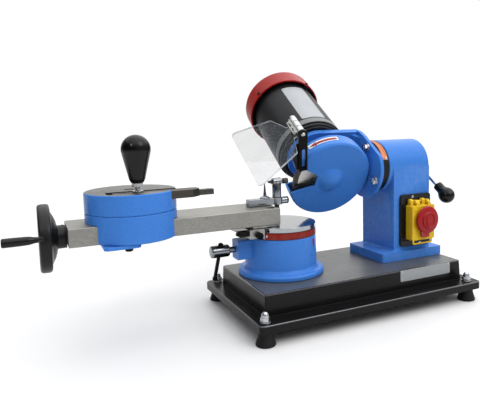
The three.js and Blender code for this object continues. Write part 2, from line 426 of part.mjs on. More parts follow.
// --------------------------------------------------------------- switch
{
  const s = SWITCH;
  const yb = COL.y0 - GAP;
  const backbox = cut(prism('y', roundRect(s.x0, s.x1, s.z0, s.z1, 5, 3), s.y0, yb), box(318, 338, s.y0 - 2, yb + 2, 112, 148));
  part(machine, 'switch_box', backbox, 'plastic');
  const yf = s.y0 - GAP;
  // housing: an open tray with the hinge lugs above and the latch hook below
  let frame = cut(prism('y', roundRect(s.fx0, s.fx1, s.fz0, s.fz1, 2, 2), s.fy, yf), box(s.fx0 + 6, s.fx1 - 6, s.fy - 2, yf - 2.2, s.fz0 + 6, s.fz1 - 7));
  frame = add(frame, cut(box(s.fx0 + 5, s.fx1 - 5, s.fy + 4.4, yf - 1, s.fz0 + 5, s.fz1 - 6), rod('y', 8.3, s.fy, yf - 2, s.startX, s.capZ, 24), rod('y', 8.3, s.fy, yf - 2, s.stopX, s.capZ, 24)));
  frame = cut(add(frame, box(s.fx0 + 4, s.fx0 + 11, 70, yf, s.fz1 - 1, 165), box(s.fx1 - 21, s.fx1 - 14, 70, yf, s.fz1 - 1, 165)),
    rod('x', 2.2, s.fx0 - 2, s.fx1 + 2, 73.5, 161, 16));
  part(machine, 'switch_frame', frame, 'yellow');
  const button = (x, y0) => turned('y', [[0, y0], [7.2, y0], [8, y0 + 0.8], [8, y0 + 2.8], [0, y0 + 2.8]], x, s.capZ, 24);
  part(machine, 'start_button', button(s.startX, s.fy + 2.2), 'green');
  part(machine, 'stop_button', button(s.stopX, s.fy + 3.4), 'red');
  let lid = prism('y', roundRect(s.fx0 + 0.4, s.fx1 - 0.4, s.fz0 + 0.4, s.fz1 - 0.4, 2, 2), s.lidY - 1.4, s.fy - GAP);
  lid = add(lid, box(s.fx0 + 12, s.fx0 + 19, s.lidY, s.fy - GAP, s.fz1 - 3, 161), box(s.fx1 - 13.6, s.fx1 - 8, s.lidY, s.fy - GAP, s.fz1 - 3, 161),
    box(s.fx0 + 11.4, s.fx0 + 19, s.lidY, 75.2, 158.4, 163.6), box(s.fx1 - 13.6, s.fx1 - 8, s.lidY, 75.2, 158.4, 163.6),
    rod('x', 1.9, s.fx0 + 2.6, s.fx1 - 5, 73.5, 161, 16),
    prism('y', roundRect(s.fx0 + 2.5, s.fx1 - 5, s.fz0 - 7, s.fz0 + 4, 3, 2), s.lidY - 1.4, s.lidY + 1.4));
  lid = cut(lid, rod('y', 5.3, s.lidY - 5, s.fy + 5, s.capX, s.capZ, 24), prism('y', roundRect(s.fx0 + 5.5, s.fx1 - 8, s.fz0 - 4.6, s.fz0 - 0.4, 1, 1), s.lidY - 3, s.lidY + 3));
  part(machine, 'switch_lid', lid, 'yellow');
  const mush = add(turned('y', [[0, 51.4], [9, 51.4], [11, 54], [19, 54], [s.capR, 56.4], [s.capR, 58.6], [0, 59.2]], s.capX, s.capZ, 36),
    rod('y', 5, 58, s.fy, s.capX, s.capZ, 24), prism('y', [[s.capX - 13, s.capZ - 28.6], [s.capX + 2.4, s.capZ - 28.6], [s.capX + 4, s.capZ - 19], [s.capX - 14, s.capZ - 17]], 55.4, 58.6));
  part(machine, 'stop_mushroom', mush, 'red');
}

// --------------------------------------------------------------- head
{
  const head = new THREE.Group();
  head.position.set(HEAD.x, HEAD.y, HEAD.z);
  head.rotation.set(HEAD.tilt, 0, HEAD.yaw, 'ZXY');
  machine.add(head);
  const hub = new THREE.Group();      // square to the tilt axis
  hub.position.copy(head.position);
  hub.rotation.x = HEAD.tilt;
  machine.add(hub);
  const toHead = new THREE.Matrix4().makeRotationFromEuler(head.rotation).invert()
    .multiply(new THREE.Matrix4().makeRotationX(HEAD.tilt));
  const f = FLANGE;
  const p = PLATE;
  const colFace = COL.archX0 - HEAD.x;             // left end of the arch

  // bracket: plate behind the guard, joined to the rounded side flange
  const disc = arc(0, 0, p.r, 92, 268, 20);
  const plate = prism('y', [...disc, [68.2, -p.z1], [72.7, p.z1], [1, p.z1]], p.y0, p.y1);
  const outline = [...arc(PIVOT.y, f.cz, f.r, 122, 270, 22), [p.y1 - 4, f.cz - f.r], [p.y1, f.cz - f.r + 4], [p.y1, p.z1 - 1.3], [70, 51.5], [60, 54.4], [45, 54.4]];
  let flange = cut(prism('x', outline, f.x0, f.x1), rod('x', 9.4, f.x0 - 5, f.x1 + 5, PIVOT.y, PIVOT.z, 24));
  const around = [[25.9, 43.3], [-20.6, 7.2], [42, -19.6]];
  for (const [y, z] of around) flange = flange.subtract(rod('x', 3.4, f.x0 - 5, f.x1 + 5, y, z, 16));
  const web = prism('z', [[56, p.y0 + 1], [71, p.y0 - 12], [71, p.y0 + 1]], -44, 44);

  let ring = cut(rod('x', 44.2, f.x1 + GAP, colFace - GAP, PIVOT.y, PIVOT.z, 48), rod('x', 24, f.x1 - 1, colFace + 1, PIVOT.y, PIVOT.z, 32));
  for (const [y, z] of around) ring = ring.subtract(rod('x', 3.4, f.x1 - 2, colFace + 2, y, z, 16));
  part(hub, 'tilt_ring', ring, 'blackPaint');
  around.forEach(([y, z], i) => part(hub, `flange_bolt_${i + 1}`, add(hex('x', 11, f.x0 - 7.4, f.x0 - 1.8, y, z, 10 + 40 * i),
    rod('x', 7.4, f.x0 - 2, f.x0 - GAP, y, z, 24), rod('x', 3, f.x0 - 3, colFace - 2, y, z, 16)), 'zinc'));
  part(hub, 'tilt_shaft', add(rod('x', 9, f.x0 + 0.6, f.x1 + 2, PIVOT.y, PIVOT.z, 24), rod('x', 20, f.x1 + 1, colFace - 1, PIVOT.y, PIVOT.z, 32),
    rod('x', 12, colFace - 2, COL.x1 - 2 - HEAD.x, PIVOT.y, PIVOT.z, 28), rod('x', 8, COL.x1 - 3 - HEAD.x, LEVER.x1 - 3.6 - HEAD.x, PIVOT.y, PIVOT.z, 24)), 'steel');

  // guard: a dished cover with a domed centre and a mouth on the left
  const g = GUARD;
  const outer = [[0, -6.4], [12, -5.2], [21, -1.2], [26, 0], [g.r - 3, 0], [g.r, 3], [g.r, g.depth], [g.r - g.wall, g.depth],
    [g.r - g.wall, 4], [g.r - 4, 2.6], [26, 2.6], [12, -2.6], [0, -3.9]];
  const mouth = prism('y', [[-26.7, -10.4], [-24.6, 9.9], [-48.1, 23], [-90, 46], [-90, -28.2]], -10, g.depth + 10);
  part(head, 'guard_cover', turned('y', outer, 0, 0, 52).subtract(mouth), 'blue');
  let back = turned('y', [[0, g.depth + GAP], [g.r - 0.4, g.depth + GAP], [g.r - 0.4, g.depth + 3], [0, g.depth + 3]], 0, 0, 52);
  for (const a of [70, 190, 310]) {
    const t = a * Math.PI / 180;
    back = back.add(rod('y', 5, g.depth + 2, p.y0 + 1, 38 * Math.cos(t), 38 * Math.sin(t), 16));
  }
  const bracket = cut(add(plate, web, flange.transform(Array.from(toHead.elements))), rod('y', 16, p.y0 - 5, p.y1 + 5, 0, 0, 32));
  part(head, 'head_bracket', add(bracket, cut(back, rod('y', 17, g.depth - 2, g.depth + 6, 0, 0, 32), mouth)), 'blue');

  // motor: body with a front band, its rear end inside the open rear cup
  const m = MOTOR;
  const shell = cut(turned('y', [[0, p.y1 + GAP], [m.r - 6, p.y1 + GAP], [m.r - 2.5, m.y0 + 2], [m.r - 2.5, m.y0 + 8.6], [m.r - 0.5, m.y0 + 9], [m.r, m.y0 + 9.6],
    [m.r, m.end - 2], [m.r - 2, m.end], [0, m.end]], 0, 0, 48), rod('y', m.r - 4, m.y0 + 16, m.end + 4, 0, 0, 40), rod('y', 8.3, p.y1 - 2, m.y0 + 20, 0, 0, 28));
  part(head, 'motor_shell', shell, 'blackPaint');
  part(head, 'motor_stator', cut(rod('y', m.r - 4.4, 110, 185, 0, 0, 40), rod('y', 31, 108, 187, 0, 0, 32)), 'copper');
  let cup = cut(turned('y', [[0, m.cup0], [m.cupR - 0.6, m.cup0], [m.cupR, m.cup0 + 0.8], [m.cupR, m.y1 - 4], [m.cupR - 4, m.y1], [0, m.y1]], 0, 0, 48),
    rod('y', m.cupR - 2.4, m.cup0 - 2, m.y1 - 3, 0, 0, 40));
  for (const a of [58, 147, 238, 328]) {
    const lug = new THREE.BoxGeometry(5.2, 10, 9);
    lug.translate(m.r + GAP + 2.6, m.cup0 + 7, 0);
    lug.rotateY(-a * Math.PI / 180);
    cup = cup.add(solid(lug));
  }
  part(head, 'fan_cover', cup, 'red');
  let rotor = add(rod('y', 6, 6, 18, 0, 0, 20), rod('y', 8, 17, 244, 0, 0, 28), rod('y', 30.4, 112, 183, 0, 0, 32), rod('y', 11, 24.1, 76, 0, 0, 28), rod('y', 16, 243, 257, 0, 0, 28));
  for (let i = 0; i < 3; i++) {
    const b = new THREE.BoxGeometry(112, 12, 2.4);
    b.translate(0, 250, 0);
    b.rotateY(i * Math.PI / 3);
    rotor = rotor.add(solid(b));
  }
  part(head, 'motor_rotor', rotor, 'steel');
  const w = GRIND;
  const dish = [[8.4, 16.6], [26, 16.6], [w.r - 6.4, 5.2], [w.r, 5.2], [w.r, 11.8], [26, 23.8], [8.4, 23.8], [8.4, 16.6]];
  part(head, 'grinding_wheel', turned('y', dish, 0, 0, 48), 'grey');
  part(head, 'wheel_nut', cut(add(rod('y', 15, 13, 16.3, 0, 0, 28), hex('y', 19, 7.4, 13.6, 0, 0)), rod('y', 6.3, 5, 20, 0, 0, 20)), 'zinc');

  // shield on its slotted bracket
  const h = HINGE;
  const ang = Math.atan2(h.z1 - h.z, h.x1 - h.x);
  const along = (t, s) => [h.x + t * Math.cos(ang) - s * Math.sin(ang), h.z + t * Math.sin(ang) + s * Math.cos(ang)];
  const L = Math.hypot(h.x1 - h.x, h.z1 - h.z);
  const loop = [];
  for (let i = 0; i <= 8; i++) { const a = Math.PI / 2 + (Math.PI * i) / 8; loop.push(along(6.9 * Math.cos(a), 6.9 * Math.sin(a))); }
  loop.push(along(L, -6.9), along(L, 6.9));
  const slot = [];
  for (let i = 0; i <= 6; i++) { const a = Math.PI / 2 + (Math.PI * i) / 6; slot.push(along(31 + 2.8 * Math.cos(a), 2.8 * Math.sin(a))); }
  for (let i = 0; i <= 6; i++) { const a = -Math.PI / 2 + (Math.PI * i) / 6; slot.push(along(61.6 + 2.8 * Math.cos(a), 2.8 * Math.sin(a))); }
  const pin = add(rod('y', 3, -5, h.len + 3, h.x, h.z, 20), turned('y', [[0, -8.2], [3.6, -7.6], [5.2, -4.4], [0, -4.4]], h.x, h.z, 20));
  part(head, 'shield_bracket', add(cut(prism('y', loop, -4.6, -0.4), prism('y', slot, -6, 2)), pin), 'blackOxide');
  // knuckle tube with a clamp strip, then the clear sheet, in the sheet's own frame
  const flap = new THREE.Group();
  flap.position.set(h.x, 0, h.z);
  flap.rotation.y = -SHIELD_SLOPE;                   // local -X points down and left
  head.add(flap);
  part(flap, 'shield_hinge', cut(add(rod('y', 5.6, 0, h.len, 0, 0, 28), box(-13.6, -3.4, 1, h.len - 2, 1.8, 4.8)), rod('y', 3.3, -2, h.len + 3, 0, 0, 20)), 'zinc');
  const sheet = [[-9, 29.3], [-9, -2.2], [-14.3, -2.2], [-21.1, -34.2], [-85, -55.5], [-89.1, -55.8], [-93.3, -51.1], [-96.5, 83], [-92.4, 87.6], [-88.2, 87.4],
    [-29.9, 67.1], [-14.5, 29.3]];
  part(flap, 'shield', prism('z', sheet.slice().reverse(), -1.6, 1.4), 'clear');
}

export default root;
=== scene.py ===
import bpy
import bmesh
import math
import numpy as np
from mathutils import Matrix, Vector


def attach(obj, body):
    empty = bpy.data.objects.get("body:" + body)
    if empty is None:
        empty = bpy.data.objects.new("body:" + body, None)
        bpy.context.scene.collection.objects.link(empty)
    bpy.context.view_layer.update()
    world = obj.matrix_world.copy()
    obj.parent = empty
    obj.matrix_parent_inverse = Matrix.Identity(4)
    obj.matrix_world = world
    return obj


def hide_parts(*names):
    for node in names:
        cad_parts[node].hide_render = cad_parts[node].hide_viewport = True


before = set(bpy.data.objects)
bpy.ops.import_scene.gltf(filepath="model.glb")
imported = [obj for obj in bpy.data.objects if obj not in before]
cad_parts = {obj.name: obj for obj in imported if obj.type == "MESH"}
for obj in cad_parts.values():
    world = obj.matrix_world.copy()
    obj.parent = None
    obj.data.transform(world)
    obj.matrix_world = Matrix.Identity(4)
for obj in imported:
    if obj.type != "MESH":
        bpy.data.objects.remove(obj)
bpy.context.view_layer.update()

# ------------------------------------------------------------------ frames
# Shapes are written in millimetres from the base's front-left lip corner;
# HD is the tilting head's own frame: local +Y runs along the motor shaft.
# HB has the same origin but stays square to the tilt axis.
MM = Matrix.Scale(0.001, 4) @ Matrix.Translation((-12.5, -12.5, 0))
HO = MM @ Matrix.Translation((181.6, 114.3, 202.85))
HB = HO @ Matrix.Rotation(0.5301, 4, 'X')
HD = HO @ Matrix.Rotation(-0.0914, 4, 'Z') @ Matrix.Rotation(0.5301, 4, 'X')
AY = 126.6


def rad(d):
    return math.radians(d)


# ---------------------------------------------------------------- mesh tools
def fillet(pts, closed=False, n=5):
    """Points (a, b) or (a, b, radius): corners with a radius become arcs."""
    out = []
    N = len(pts)
    for i, p in enumerate(pts):
        r = p[2] if len(p) > 2 else 0
        if r <= 0 or (not closed and i in (0, N - 1)):
            out.append((p[0], p[1]))
            continue
        P = np.array(p[:2], float)
        A = np.array(pts[i - 1][:2], float) - P
        B = np.array(pts[(i + 1) % N][:2], float) - P
        la, lb = np.linalg.norm(A), np.linalg.norm(B)
        A, B = A / la, B / lb
        ang = math.acos(max(-1, min(1, float(A @ B))))
        if ang > math.pi - 0.02 or ang < 0.02:
            out.append((p[0], p[1]))
            continue
        t = min(r / math.tan(ang / 2), 0.48 * la, 0.48 * lb)
        r2 = t * math.tan(ang / 2)
        s, e = P + A * t, P + B * t
        m = (A + B) / np.linalg.norm(A + B)
        c = P + m * r2 / math.sin(ang / 2)
        u, v = s - c, e - c
        w = math.acos(max(-1, min(1, float(u @ v) / (r2 * r2))))
        for k in range(n + 1):
            f = k / n
            q = c + (u * math.sin((1 - f) * w) + v * math.sin(f * w)) / math.sin(w)
            out.append((float(q[0]), float(q[1])))
    return out


def place(axis, a, b, h):
    """(a, b) across the axis and h along it, as a point."""
    if axis == 'z':
        return (a, b, h)
    if axis == 'x':
        return (h, a, b)
    return (a, h, b)


def lathe(profile, axis='z', u=0.0, v=0.0, seg=64, n=5, a0=0.0, a1=360.0):
    """Turned shape about an axis through (u, v); the profile is (radius, height[, fillet])."""
    pr = fillet(profile, n=n)
    verts, rings, full = [], [], abs(a1 - a0) >= 359.99
    cols = seg if full else seg + 1
    for r, h in pr:
        if r < 1e-6:
            verts.append(place(axis, u, v, h))
            rings.append([len(verts) - 1])
        else:
            ring = []
            for k in range(cols):
                t = rad(a0 + (a1 - a0) * k / seg)
                verts.append(place(axis, u + r * math.cos(t), v + r * math.sin(t), h))
                ring.append(len(verts) - 1)
            rings.append(ring)
    faces = []
    for A, B in zip(rings, rings[1:]):
        m = cols if full else cols - 1
        for k in range(m):
            k2 = (k + 1) % cols
            if len(A) == 1 and len(B) == 1:
                continue
            if len(A) == 1:
                faces.append((A[0], B[k], B[k2]))
            elif len(B) == 1:
                faces.append((A[k], B[0], A[k2]))
            else:
                faces.append((A[k], B[k], B[k2], A[k2]))
    return verts, faces


def ring_lathe(profile, axis='z', u=0.0, v=0.0, seg=64, n=5):
    """Turned ring: the closed profile doesn't touch the axis."""
    pr = fillet(profile, closed=True, n=n)
    pr.append(pr[0])
    return lathe(pr, axis, u, v, seg)


def prism(outline, a0, a1, axis='z', n=5):
    """Closed outline extruded along an axis; corners may carry a fillet radius."""
    pts = fillet(outline, closed=True, n=n)
    N = len(pts)
    verts = [place(axis, a, b, a0) for a, b in pts] + [place(axis, a, b, a1) for a, b in pts]
    faces = [tuple(range(N - 1, -1, -1)), tuple(range(N, 2 * N))]
    faces += [(i, (i + 1) % N, N + (i + 1) % N, N + i) for i in range(N)]
    return verts, faces


def box(x0, x1, y0, y1, z0, z1, r=0.0, axis='z'):
    if axis == 'z':
        return prism([(x0, y0, r), (x1, y0, r), (x1, y1, r), (x0, y1, r)], z0, z1, 'z')
    if axis == 'x':
        return prism([(y0, z0, r), (y1, z0, r), (y1, z1, r), (y0, z1, r)], x0, x1, 'x')
    return prism([(x0, z0, r), (x1, z0, r), (x1, z1, r), (x0, z1, r)], y0, y1, 'y')


def rod(axis, r, a0, a1, u, v, seg=40, f=0.0):
    return lathe([(0, a0), (r, a0, f), (r, a1, f), (0, a1)], axis, u, v, seg, n=3)


def hexa(axis, flat, a0, a1, u, v, turn=0.0, cham=0.0):
    """Hexagon nut or bolt head, a plain hexagonal prism."""
    r = flat / math.sqrt(3)
    pts = [(u + r * math.cos(rad(30 + turn + 60 * k)), v + r * math.sin(rad(30 + turn + 60 * k))) for k in range(6)]
    return prism(pts, a0, a1, axis)


def loft(rings, cap=True):
    """Closed rings with the same number of points, joined in order."""
    verts, faces = [], []
    N = len(rings[0])
    for R in rings:
        verts += R
    for k in range(len(rings) - 1):
        for i in range(N):
            j = (i + 1) % N
            faces.append((k * N + i, k * N + j, (k + 1) * N + j, (k + 1) * N + i))
    if cap:
        faces.append(tuple(range(N - 1, -1, -1)))
        faces.append(tuple((len(rings) - 1) * N + i for i in range(N)))
    return verts, faces


def rrect(x0, x1, y0, y1, r, z, n=6):
    out = []
    for cx, cy, s in ((x1 - r, y0 + r, -90), (x1 - r, y1 - r, 0), (x0 + r, y1 - r, 90), (x0 + r, y0 + r, 180)):
        for i in range(n + 1):
            t = rad(s + 90 * i / n)
            out.append((cx + r * math.cos(t), cy + r * math.sin(t), z))
    return out


def moved(part, m):
    v, f = part
    return [tuple(m @ Vector(p)) for p in v], f


def patch(r, y0, y1, d0, d1, thick=0.35, seg=24, corner=2.5):
    """Thin curved plate with rounded corners on a cylinder about local Y."""
    W = rad(d1 - d0) * r
    pts = fillet([(0, y0, corner), (W, y0, corner), (W, y1, corner), (0, y1, corner)], closed=True, n=5)
    fine = []
    for (a, b), (c, d) in zip(pts, pts[1:] + pts[:1]):
        k = max(1, int(math.hypot(c - a, d - b) / (W / seg)))
        for i in range(k):
            fine.append((a + (c - a) * i / k, b + (d - b) * i / k))
    bm = bmesh.new()
    vs = [bm.verts.new((a, b, 0)) for a, b in fine]
    bm.faces.new(vs)
    for k in range(1, seg):
        geom = bm.verts[:] + bm.edges[:] + bm.faces[:]
        bmesh.ops.bisect_plane(bm, geom=geom, plane_co=(W * k / seg, 0, 0), plane_no=(1, 0, 0))
    ext = bmesh.ops.extrude_face_region(bm, geom=bm.faces[:])
    top = [g for g in ext['geom'] if isinstance(g, bmesh.types.BMVert)]
    for g in top:
        g.co.z = thick
    bm.verts.index_update()
    verts = []
    for g in bm.verts:
        t = rad(d0) + g.co.x / r
        rr = r + g.co.z
        verts.append((rr * math.cos(t), g.co.y, rr * math.sin(t)))
    faces = [tuple(w.index for w in f.verts) for f in bm.faces]
    bm.free()
    return verts, faces


def to_mesh(name, parts):
    verts, faces, idx = [], [], []
    for p in parts:
        v, f = p[0], p[1]
        m = p[2] if len(p) > 2 else 0
        o = len(verts)
        verts += v
        faces += [tuple(o + i for i in q) for q in f]
        idx += [m] * len(f)
    me = bpy.data.meshes.new(name)
    me.from_pydata(verts, [], faces)
    me.update()
    me.polygons.foreach_set("material_index", idx)
    bm = bmesh.new()
    bm.from_mesh(me)
    bmesh.ops.remove_doubles(bm, verts=bm.verts, dist=1e-4)
    bmesh.ops.recalc_face_normals(bm, faces=bm.faces)
    bm.to_mesh(me)
    bm.free()
    return me


def bake(ob):
    """The object's mesh with its modifiers applied."""
    dg = bpy.context.evaluated_depsgraph_get()
    me = bpy.data.meshes.new_from_object(ob.evaluated_get(dg))
    ob.modifiers.clear()
    old = ob.data
    ob.data = me
    bpy.data.meshes.remove(old)


def solid(name, parts, mats, body, M=MM, node=(), cut=(), join=(), bevel=0.0, seg=3,
          limit=30.0, angle=32.0, pick=None, weighted=True):
    """One visible piece: parts joined, cut, bevelled, finished and hung on its CAD body."""
    me = to_mesh(name, parts)
    ob = bpy.data.objects.new(name, me)
    bpy.context.scene.collection.objects.link(ob)
    tools = []
    for kind, group in (('UNION', join), ('DIFFERENCE', cut)):
        for k, c in enumerate(group):
            t = bpy.data.objects.new(name + '_tool', to_mesh(name + '_tool', [c]))
            bpy.context.scene.collection.objects.link(t)
            tools.append(t)
            mod = ob.modifiers.new(kind.lower() + str(k), 'BOOLEAN')
            mod.operation = kind
            mod.object = t
            mod.solver = 'EXACT'
    if tools:
        bake(ob)
        for t in tools:
            d = t.data
            bpy.data.objects.remove(t)
            bpy.data.meshes.remove(d)
        bm = bmesh.new()
        bm.from_mesh(ob.data)
        bmesh.ops.remove_doubles(bm, verts=bm.verts, dist=2e-3)
        bmesh.ops.dissolve_degenerate(bm, dist=1e-3, edges=bm.edges)
        bm.to_mesh(ob.data)
        bm.free()
    if bevel > 0:
        b = ob.modifiers.new('bevel', 'BEVEL')
        b.width = bevel
        b.segments = seg
        b.limit_method = 'ANGLE'
        b.angle_limit = rad(limit)
        b.use_clamp_overlap = True
        b.miter_outer = 'MITER_ARC'
        bake(ob)
    for p in ob.data.polygons:
        p.use_smooth = True
    ob.data.set_sharp_from_angle(angle=rad(angle))
    if weighted:
        w = ob.modifiers.new('wn', 'WEIGHTED_NORMAL')
        w.keep_sharp = True
        w.weight = 60
        bake(ob)
    ob.data.transform(M)
    ob.data.update()
    mats = mats if isinstance(mats, (list, tuple)) else [mats]
    keep = [p.material_index for p in ob.data.polygons]
    ob.data.materials.clear()
    for m in mats:
        ob.data.materials.append(m)
    ob.data.polygons.foreach_set("material_index", [min(k, len(mats) - 1) for k in keep])
    if pick:
        for p in ob.data.polygons:
            k = pick(p.center, p.normal)
            if k is not None:
                p.material_index = k
    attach(ob, body)
    if node:
        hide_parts(*([node] if isinstance(node, str) else node))
    return ob


# ----------------------------------------------------------------- materials
def lin(c):
    """sRGB 0-255 to linear."""
    out = []
    for x in c:
        x = x / 255.0
        out.append(x / 12.92 if x <= 0.04045 else ((x + 0.055) / 1.055) ** 2.4)
    return tuple(out)


def mix_col(a, b, t):
    return tuple(a[i] * (1 - t) + b[i] * t for i in range(3))


class Mat:
    def __init__(self, name, rough=0.4, metal=0.0):
        self.m = bpy.data.materials.new(name)
        self.m.use_nodes = True
        self.t = self.m.node_tree
        self.b = self.t.nodes['Principled BSDF']
        self.b.inputs['Metallic'].default_value = metal
        self.b.inputs['Roughness'].default_value = rough
        self.tc = self.t.nodes.new('ShaderNodeTexCoord')

    def link(self, a, b):
        self.t.links.new(a, b)

    def node(self, kind, **kw):
        n = self.t.nodes.new(kind)
        for k, v in kw.items():
            setattr(n, k, v)
        return n

    def noise(self, scale, detail=3.0, stretch=None, rough=0.55, turn=None):
        """Noise in object metres; stretch lengthens the grain along an axis."""
        n = self.node('ShaderNodeTexNoise')
        n.inputs['Scale'].default_value = scale
        n.inputs['Detail'].default_value = detail
        n.inputs['Roughness'].default_value = rough
        mp = self.node('ShaderNodeMapping')
        if stretch:
            mp.inputs['Scale'].default_value = stretch
        if turn:
            mp.inputs['Rotation'].default_value = turn
        self.link(self.tc.outputs['Object'], mp.inputs['Vector'])
        self.link(mp.outputs['Vector'], n.inputs['Vector'])
        return n.outputs['Fac']

    def ramp(self, fac, stops):
        r = self.node('ShaderNodeValToRGB')
        e = r.color_ramp.elements
        while len(e) < len(stops):
            e.new(0.5)
        for k, (p, c) in enumerate(stops):
            e[k].position = p
            e[k].color = (*c, 1) if len(c) == 3 else c
        self.link(fac, r.inputs['Fac'])
        return r.outputs['Color']

    def rng(self, fac, a, b, lo=0.3, hi=0.7):
        r = self.node('ShaderNodeMapRange')
        r.inputs['From Min'].default_value = lo
        r.inputs['From Max'].default_value = hi
        r.inputs['To Min'].default_value = a
        r.inputs['To Max'].default_value = b
        self.link(fac, r.inputs['Value'])
        return r.outputs['Result']

    def mix(self, fac, a, b, mode='MIX'):
        n = self.node('ShaderNodeMix', data_type='RGBA', blend_type=mode)
        for sock, val in ((n.inputs[0], fac), (n.inputs[6], a), (n.inputs[7], b)):
            if isinstance(val, (int, float)):
                sock.default_value = val
            elif isinstance(val, tuple):
                sock.default_value = (*val, 1)
            else:
                self.link(val, sock)
        return n.outputs[2]

    def math(self, op, a, b=0.0, clamp=False):
        n = self.node('ShaderNodeMath', operation=op, use_clamp=clamp)
        for sock, val in ((n.inputs[0], a), (n.inputs[1], b)):
            if isinstance(val, (int, float)):
                sock.default_value = val
            else:
                self.link(val, sock)
        return n.outputs[0]

    def bump(self, fac, strength, dist, chain=None):
        n = self.node('ShaderNodeBump')
        n.inputs['Strength'].default_value = strength
        n.inputs['Distance'].default_value = dist
        self.link(fac, n.inputs['Height'])
        if chain:
            self.link(chain, n.inputs['Normal'])
        return n.outputs['Normal']

    def edge(self, lo=0.52, hi=0.62):
        """Mask of convex edges, broken up by noise."""
        g = self.node('ShaderNodeNewGeometry')
        e = self.rng(g.outputs['Pointiness'], 0.0, 1.0, lo, hi)
        return self.math('MULTIPLY', e, self.rng(self.noise(140, 4), 0.0, 1.0, 0.4, 0.65), clamp=True)

    def up(self):
        """Mask of faces that look up, for settled dust."""
        g = self.node('ShaderNodeNewGeometry')
        s = self.node('ShaderNodeSeparateXYZ')
        self.link(g.outputs['Normal'], s.inputs['Vector'])
        return self.rng(s.outputs['Z'], 0.0, 1.0, 0.55, 0.98)

    def out(self, color=None, rough=None, normal=None):
        if color is not None:
            self.link(color, self.b.inputs['Base Color'])
        if rough is not None:
            self.link(rough, self.b.inputs['Roughness'])
        if normal is not None:
            self.link(normal, self.b.inputs['Normal'])
        return self.m


def brighter(c, f):
    return tuple(min(1.0, v * (1 + f)) for v in c)


def paint(name, rgb, rough=0.3, peel=0.05, var=0.06, coat=0.35, coat_rough=0.08, dust=0.05, wear=0.25, spec=0.5, grain=420):
    """Machine paint: slight tone drift, orange peel, dust on top, thin edges."""
    k = Mat(name, rough)
    base = lin(rgb)
    tone = k.ramp(k.noise(7, 3), [(0.32, mix_col(base, (0, 0, 0), var)), (0.68, brighter(base, var))])
    fine = k.ramp(k.noise(260, 3), [(0.35, (0.93, 0.93, 0.93)), (0.65, (1.0, 1.0, 1.0))])
    c = k.mix(1.0, tone, fine, 'MULTIPLY')
    c = k.mix(k.math('MULTIPLY', k.edge(), wear), c, mix_col(base, (0.8, 0.8, 0.8), 0.45))
    c = k.mix(k.math('MULTIPLY', k.math('MULTIPLY', k.up(), k.rng(k.noise(38, 5), 0.1, 1.0)), dust), c, (0.62, 0.60, 0.57))
    r = k.math('ADD', k.rng(k.noise(24, 4), rough - 0.05, rough + 0.06), k.rng(k.noise(500, 2), -0.02, 0.03))
    n = k.bump(k.noise(grain, 2), peel, 0.0006)
    n = k.bump(k.noise(34, 2), peel * 0.25, 0.0008, n)
    k.b.inputs['Coat Weight'].default_value = coat
    k.b.inputs['Coat Roughness'].default_value = coat_rough
    k.b.inputs['Specular IOR Level'].default_value = spec
    return k.out(c, r, n)


def metal(name, rgb, rough=0.3, stretch=(1, 1, 1), grain=300, var=0.12, scratch=0.25, stain=0.12, dark=0.0, bump=0.12, turn=None, metallic=1.0):
    """Bare or plated metal with a directional grain, fine scratches and stains."""
    k = Mat(name, rough, metallic)
    base = lin(rgb)
    g = k.noise(grain, 4, stretch, turn=turn)
    tone = k.ramp(g, [(0.3, mix_col(base, (0, 0, 0), var)), (0.7, brighter(base, var))])
    blot = k.rng(k.noise(22, 5), 0.0, 1.0, 0.45, 0.72)
    c = k.mix(k.math('MULTIPLY', blot, stain), tone, mix_col(base, (0.12, 0.08, 0.05), 0.6))
    spots = k.rng(k.noise(190, 3), 0.0, 1.0, 0.66, 0.74)
    c = k.mix(k.math('MULTIPLY', spots, dark), c, mix_col(base, (0.02, 0.02, 0.02), 0.8))
    sc = k.rng(k.noise(grain * 2.2, 2, stretch, turn=turn), 0.0, 1.0, 0.6, 0.75)
    r = k.math('ADD', k.rng(g, rough - 0.05, rough + 0.08), k.math('MULTIPLY', sc, scratch * 0.3))
    r = k.math('ADD', r, k.math('MULTIPLY', blot, 0.08), clamp=True)
    n = k.bump(g, bump, 0.0003)
    return k.out(c, r, n)


def plastic(name, rgb, rough=0.35, grain=650, peel=0.08, var=0.05, coat=0.0, dust=0.05, spec=0.2):
    k = Mat(name, rough)
    base = lin(rgb)
    c = k.ramp(k.noise(18, 4), [(0.3, mix_col(base, (0, 0, 0), var)), (0.7, brighter(base, var))])
    c = k.mix(k.math('MULTIPLY', k.edge(0.53, 0.66), 0.18), c, mix_col(base, (1, 1, 1), 0.3))
    c = k.mix(k.math('MULTIPLY', k.math('MULTIPLY', k.up(), k.rng(k.noise(60, 4), 0.2, 1.0)), dust), c, (0.5, 0.49, 0.47))
    r = k.rng(k.noise(40, 4), rough - 0.06, rough + 0.08)
    n = k.bump(k.noise(grain, 3), peel, 0.0003)
    k.b.inputs['Coat Weight'].default_value = coat
    k.b.inputs['Coat Roughness'].default_value = 0.12
    k.b.inputs['Specular IOR Level'].default_value = spec
    return k.out(c, r, n)


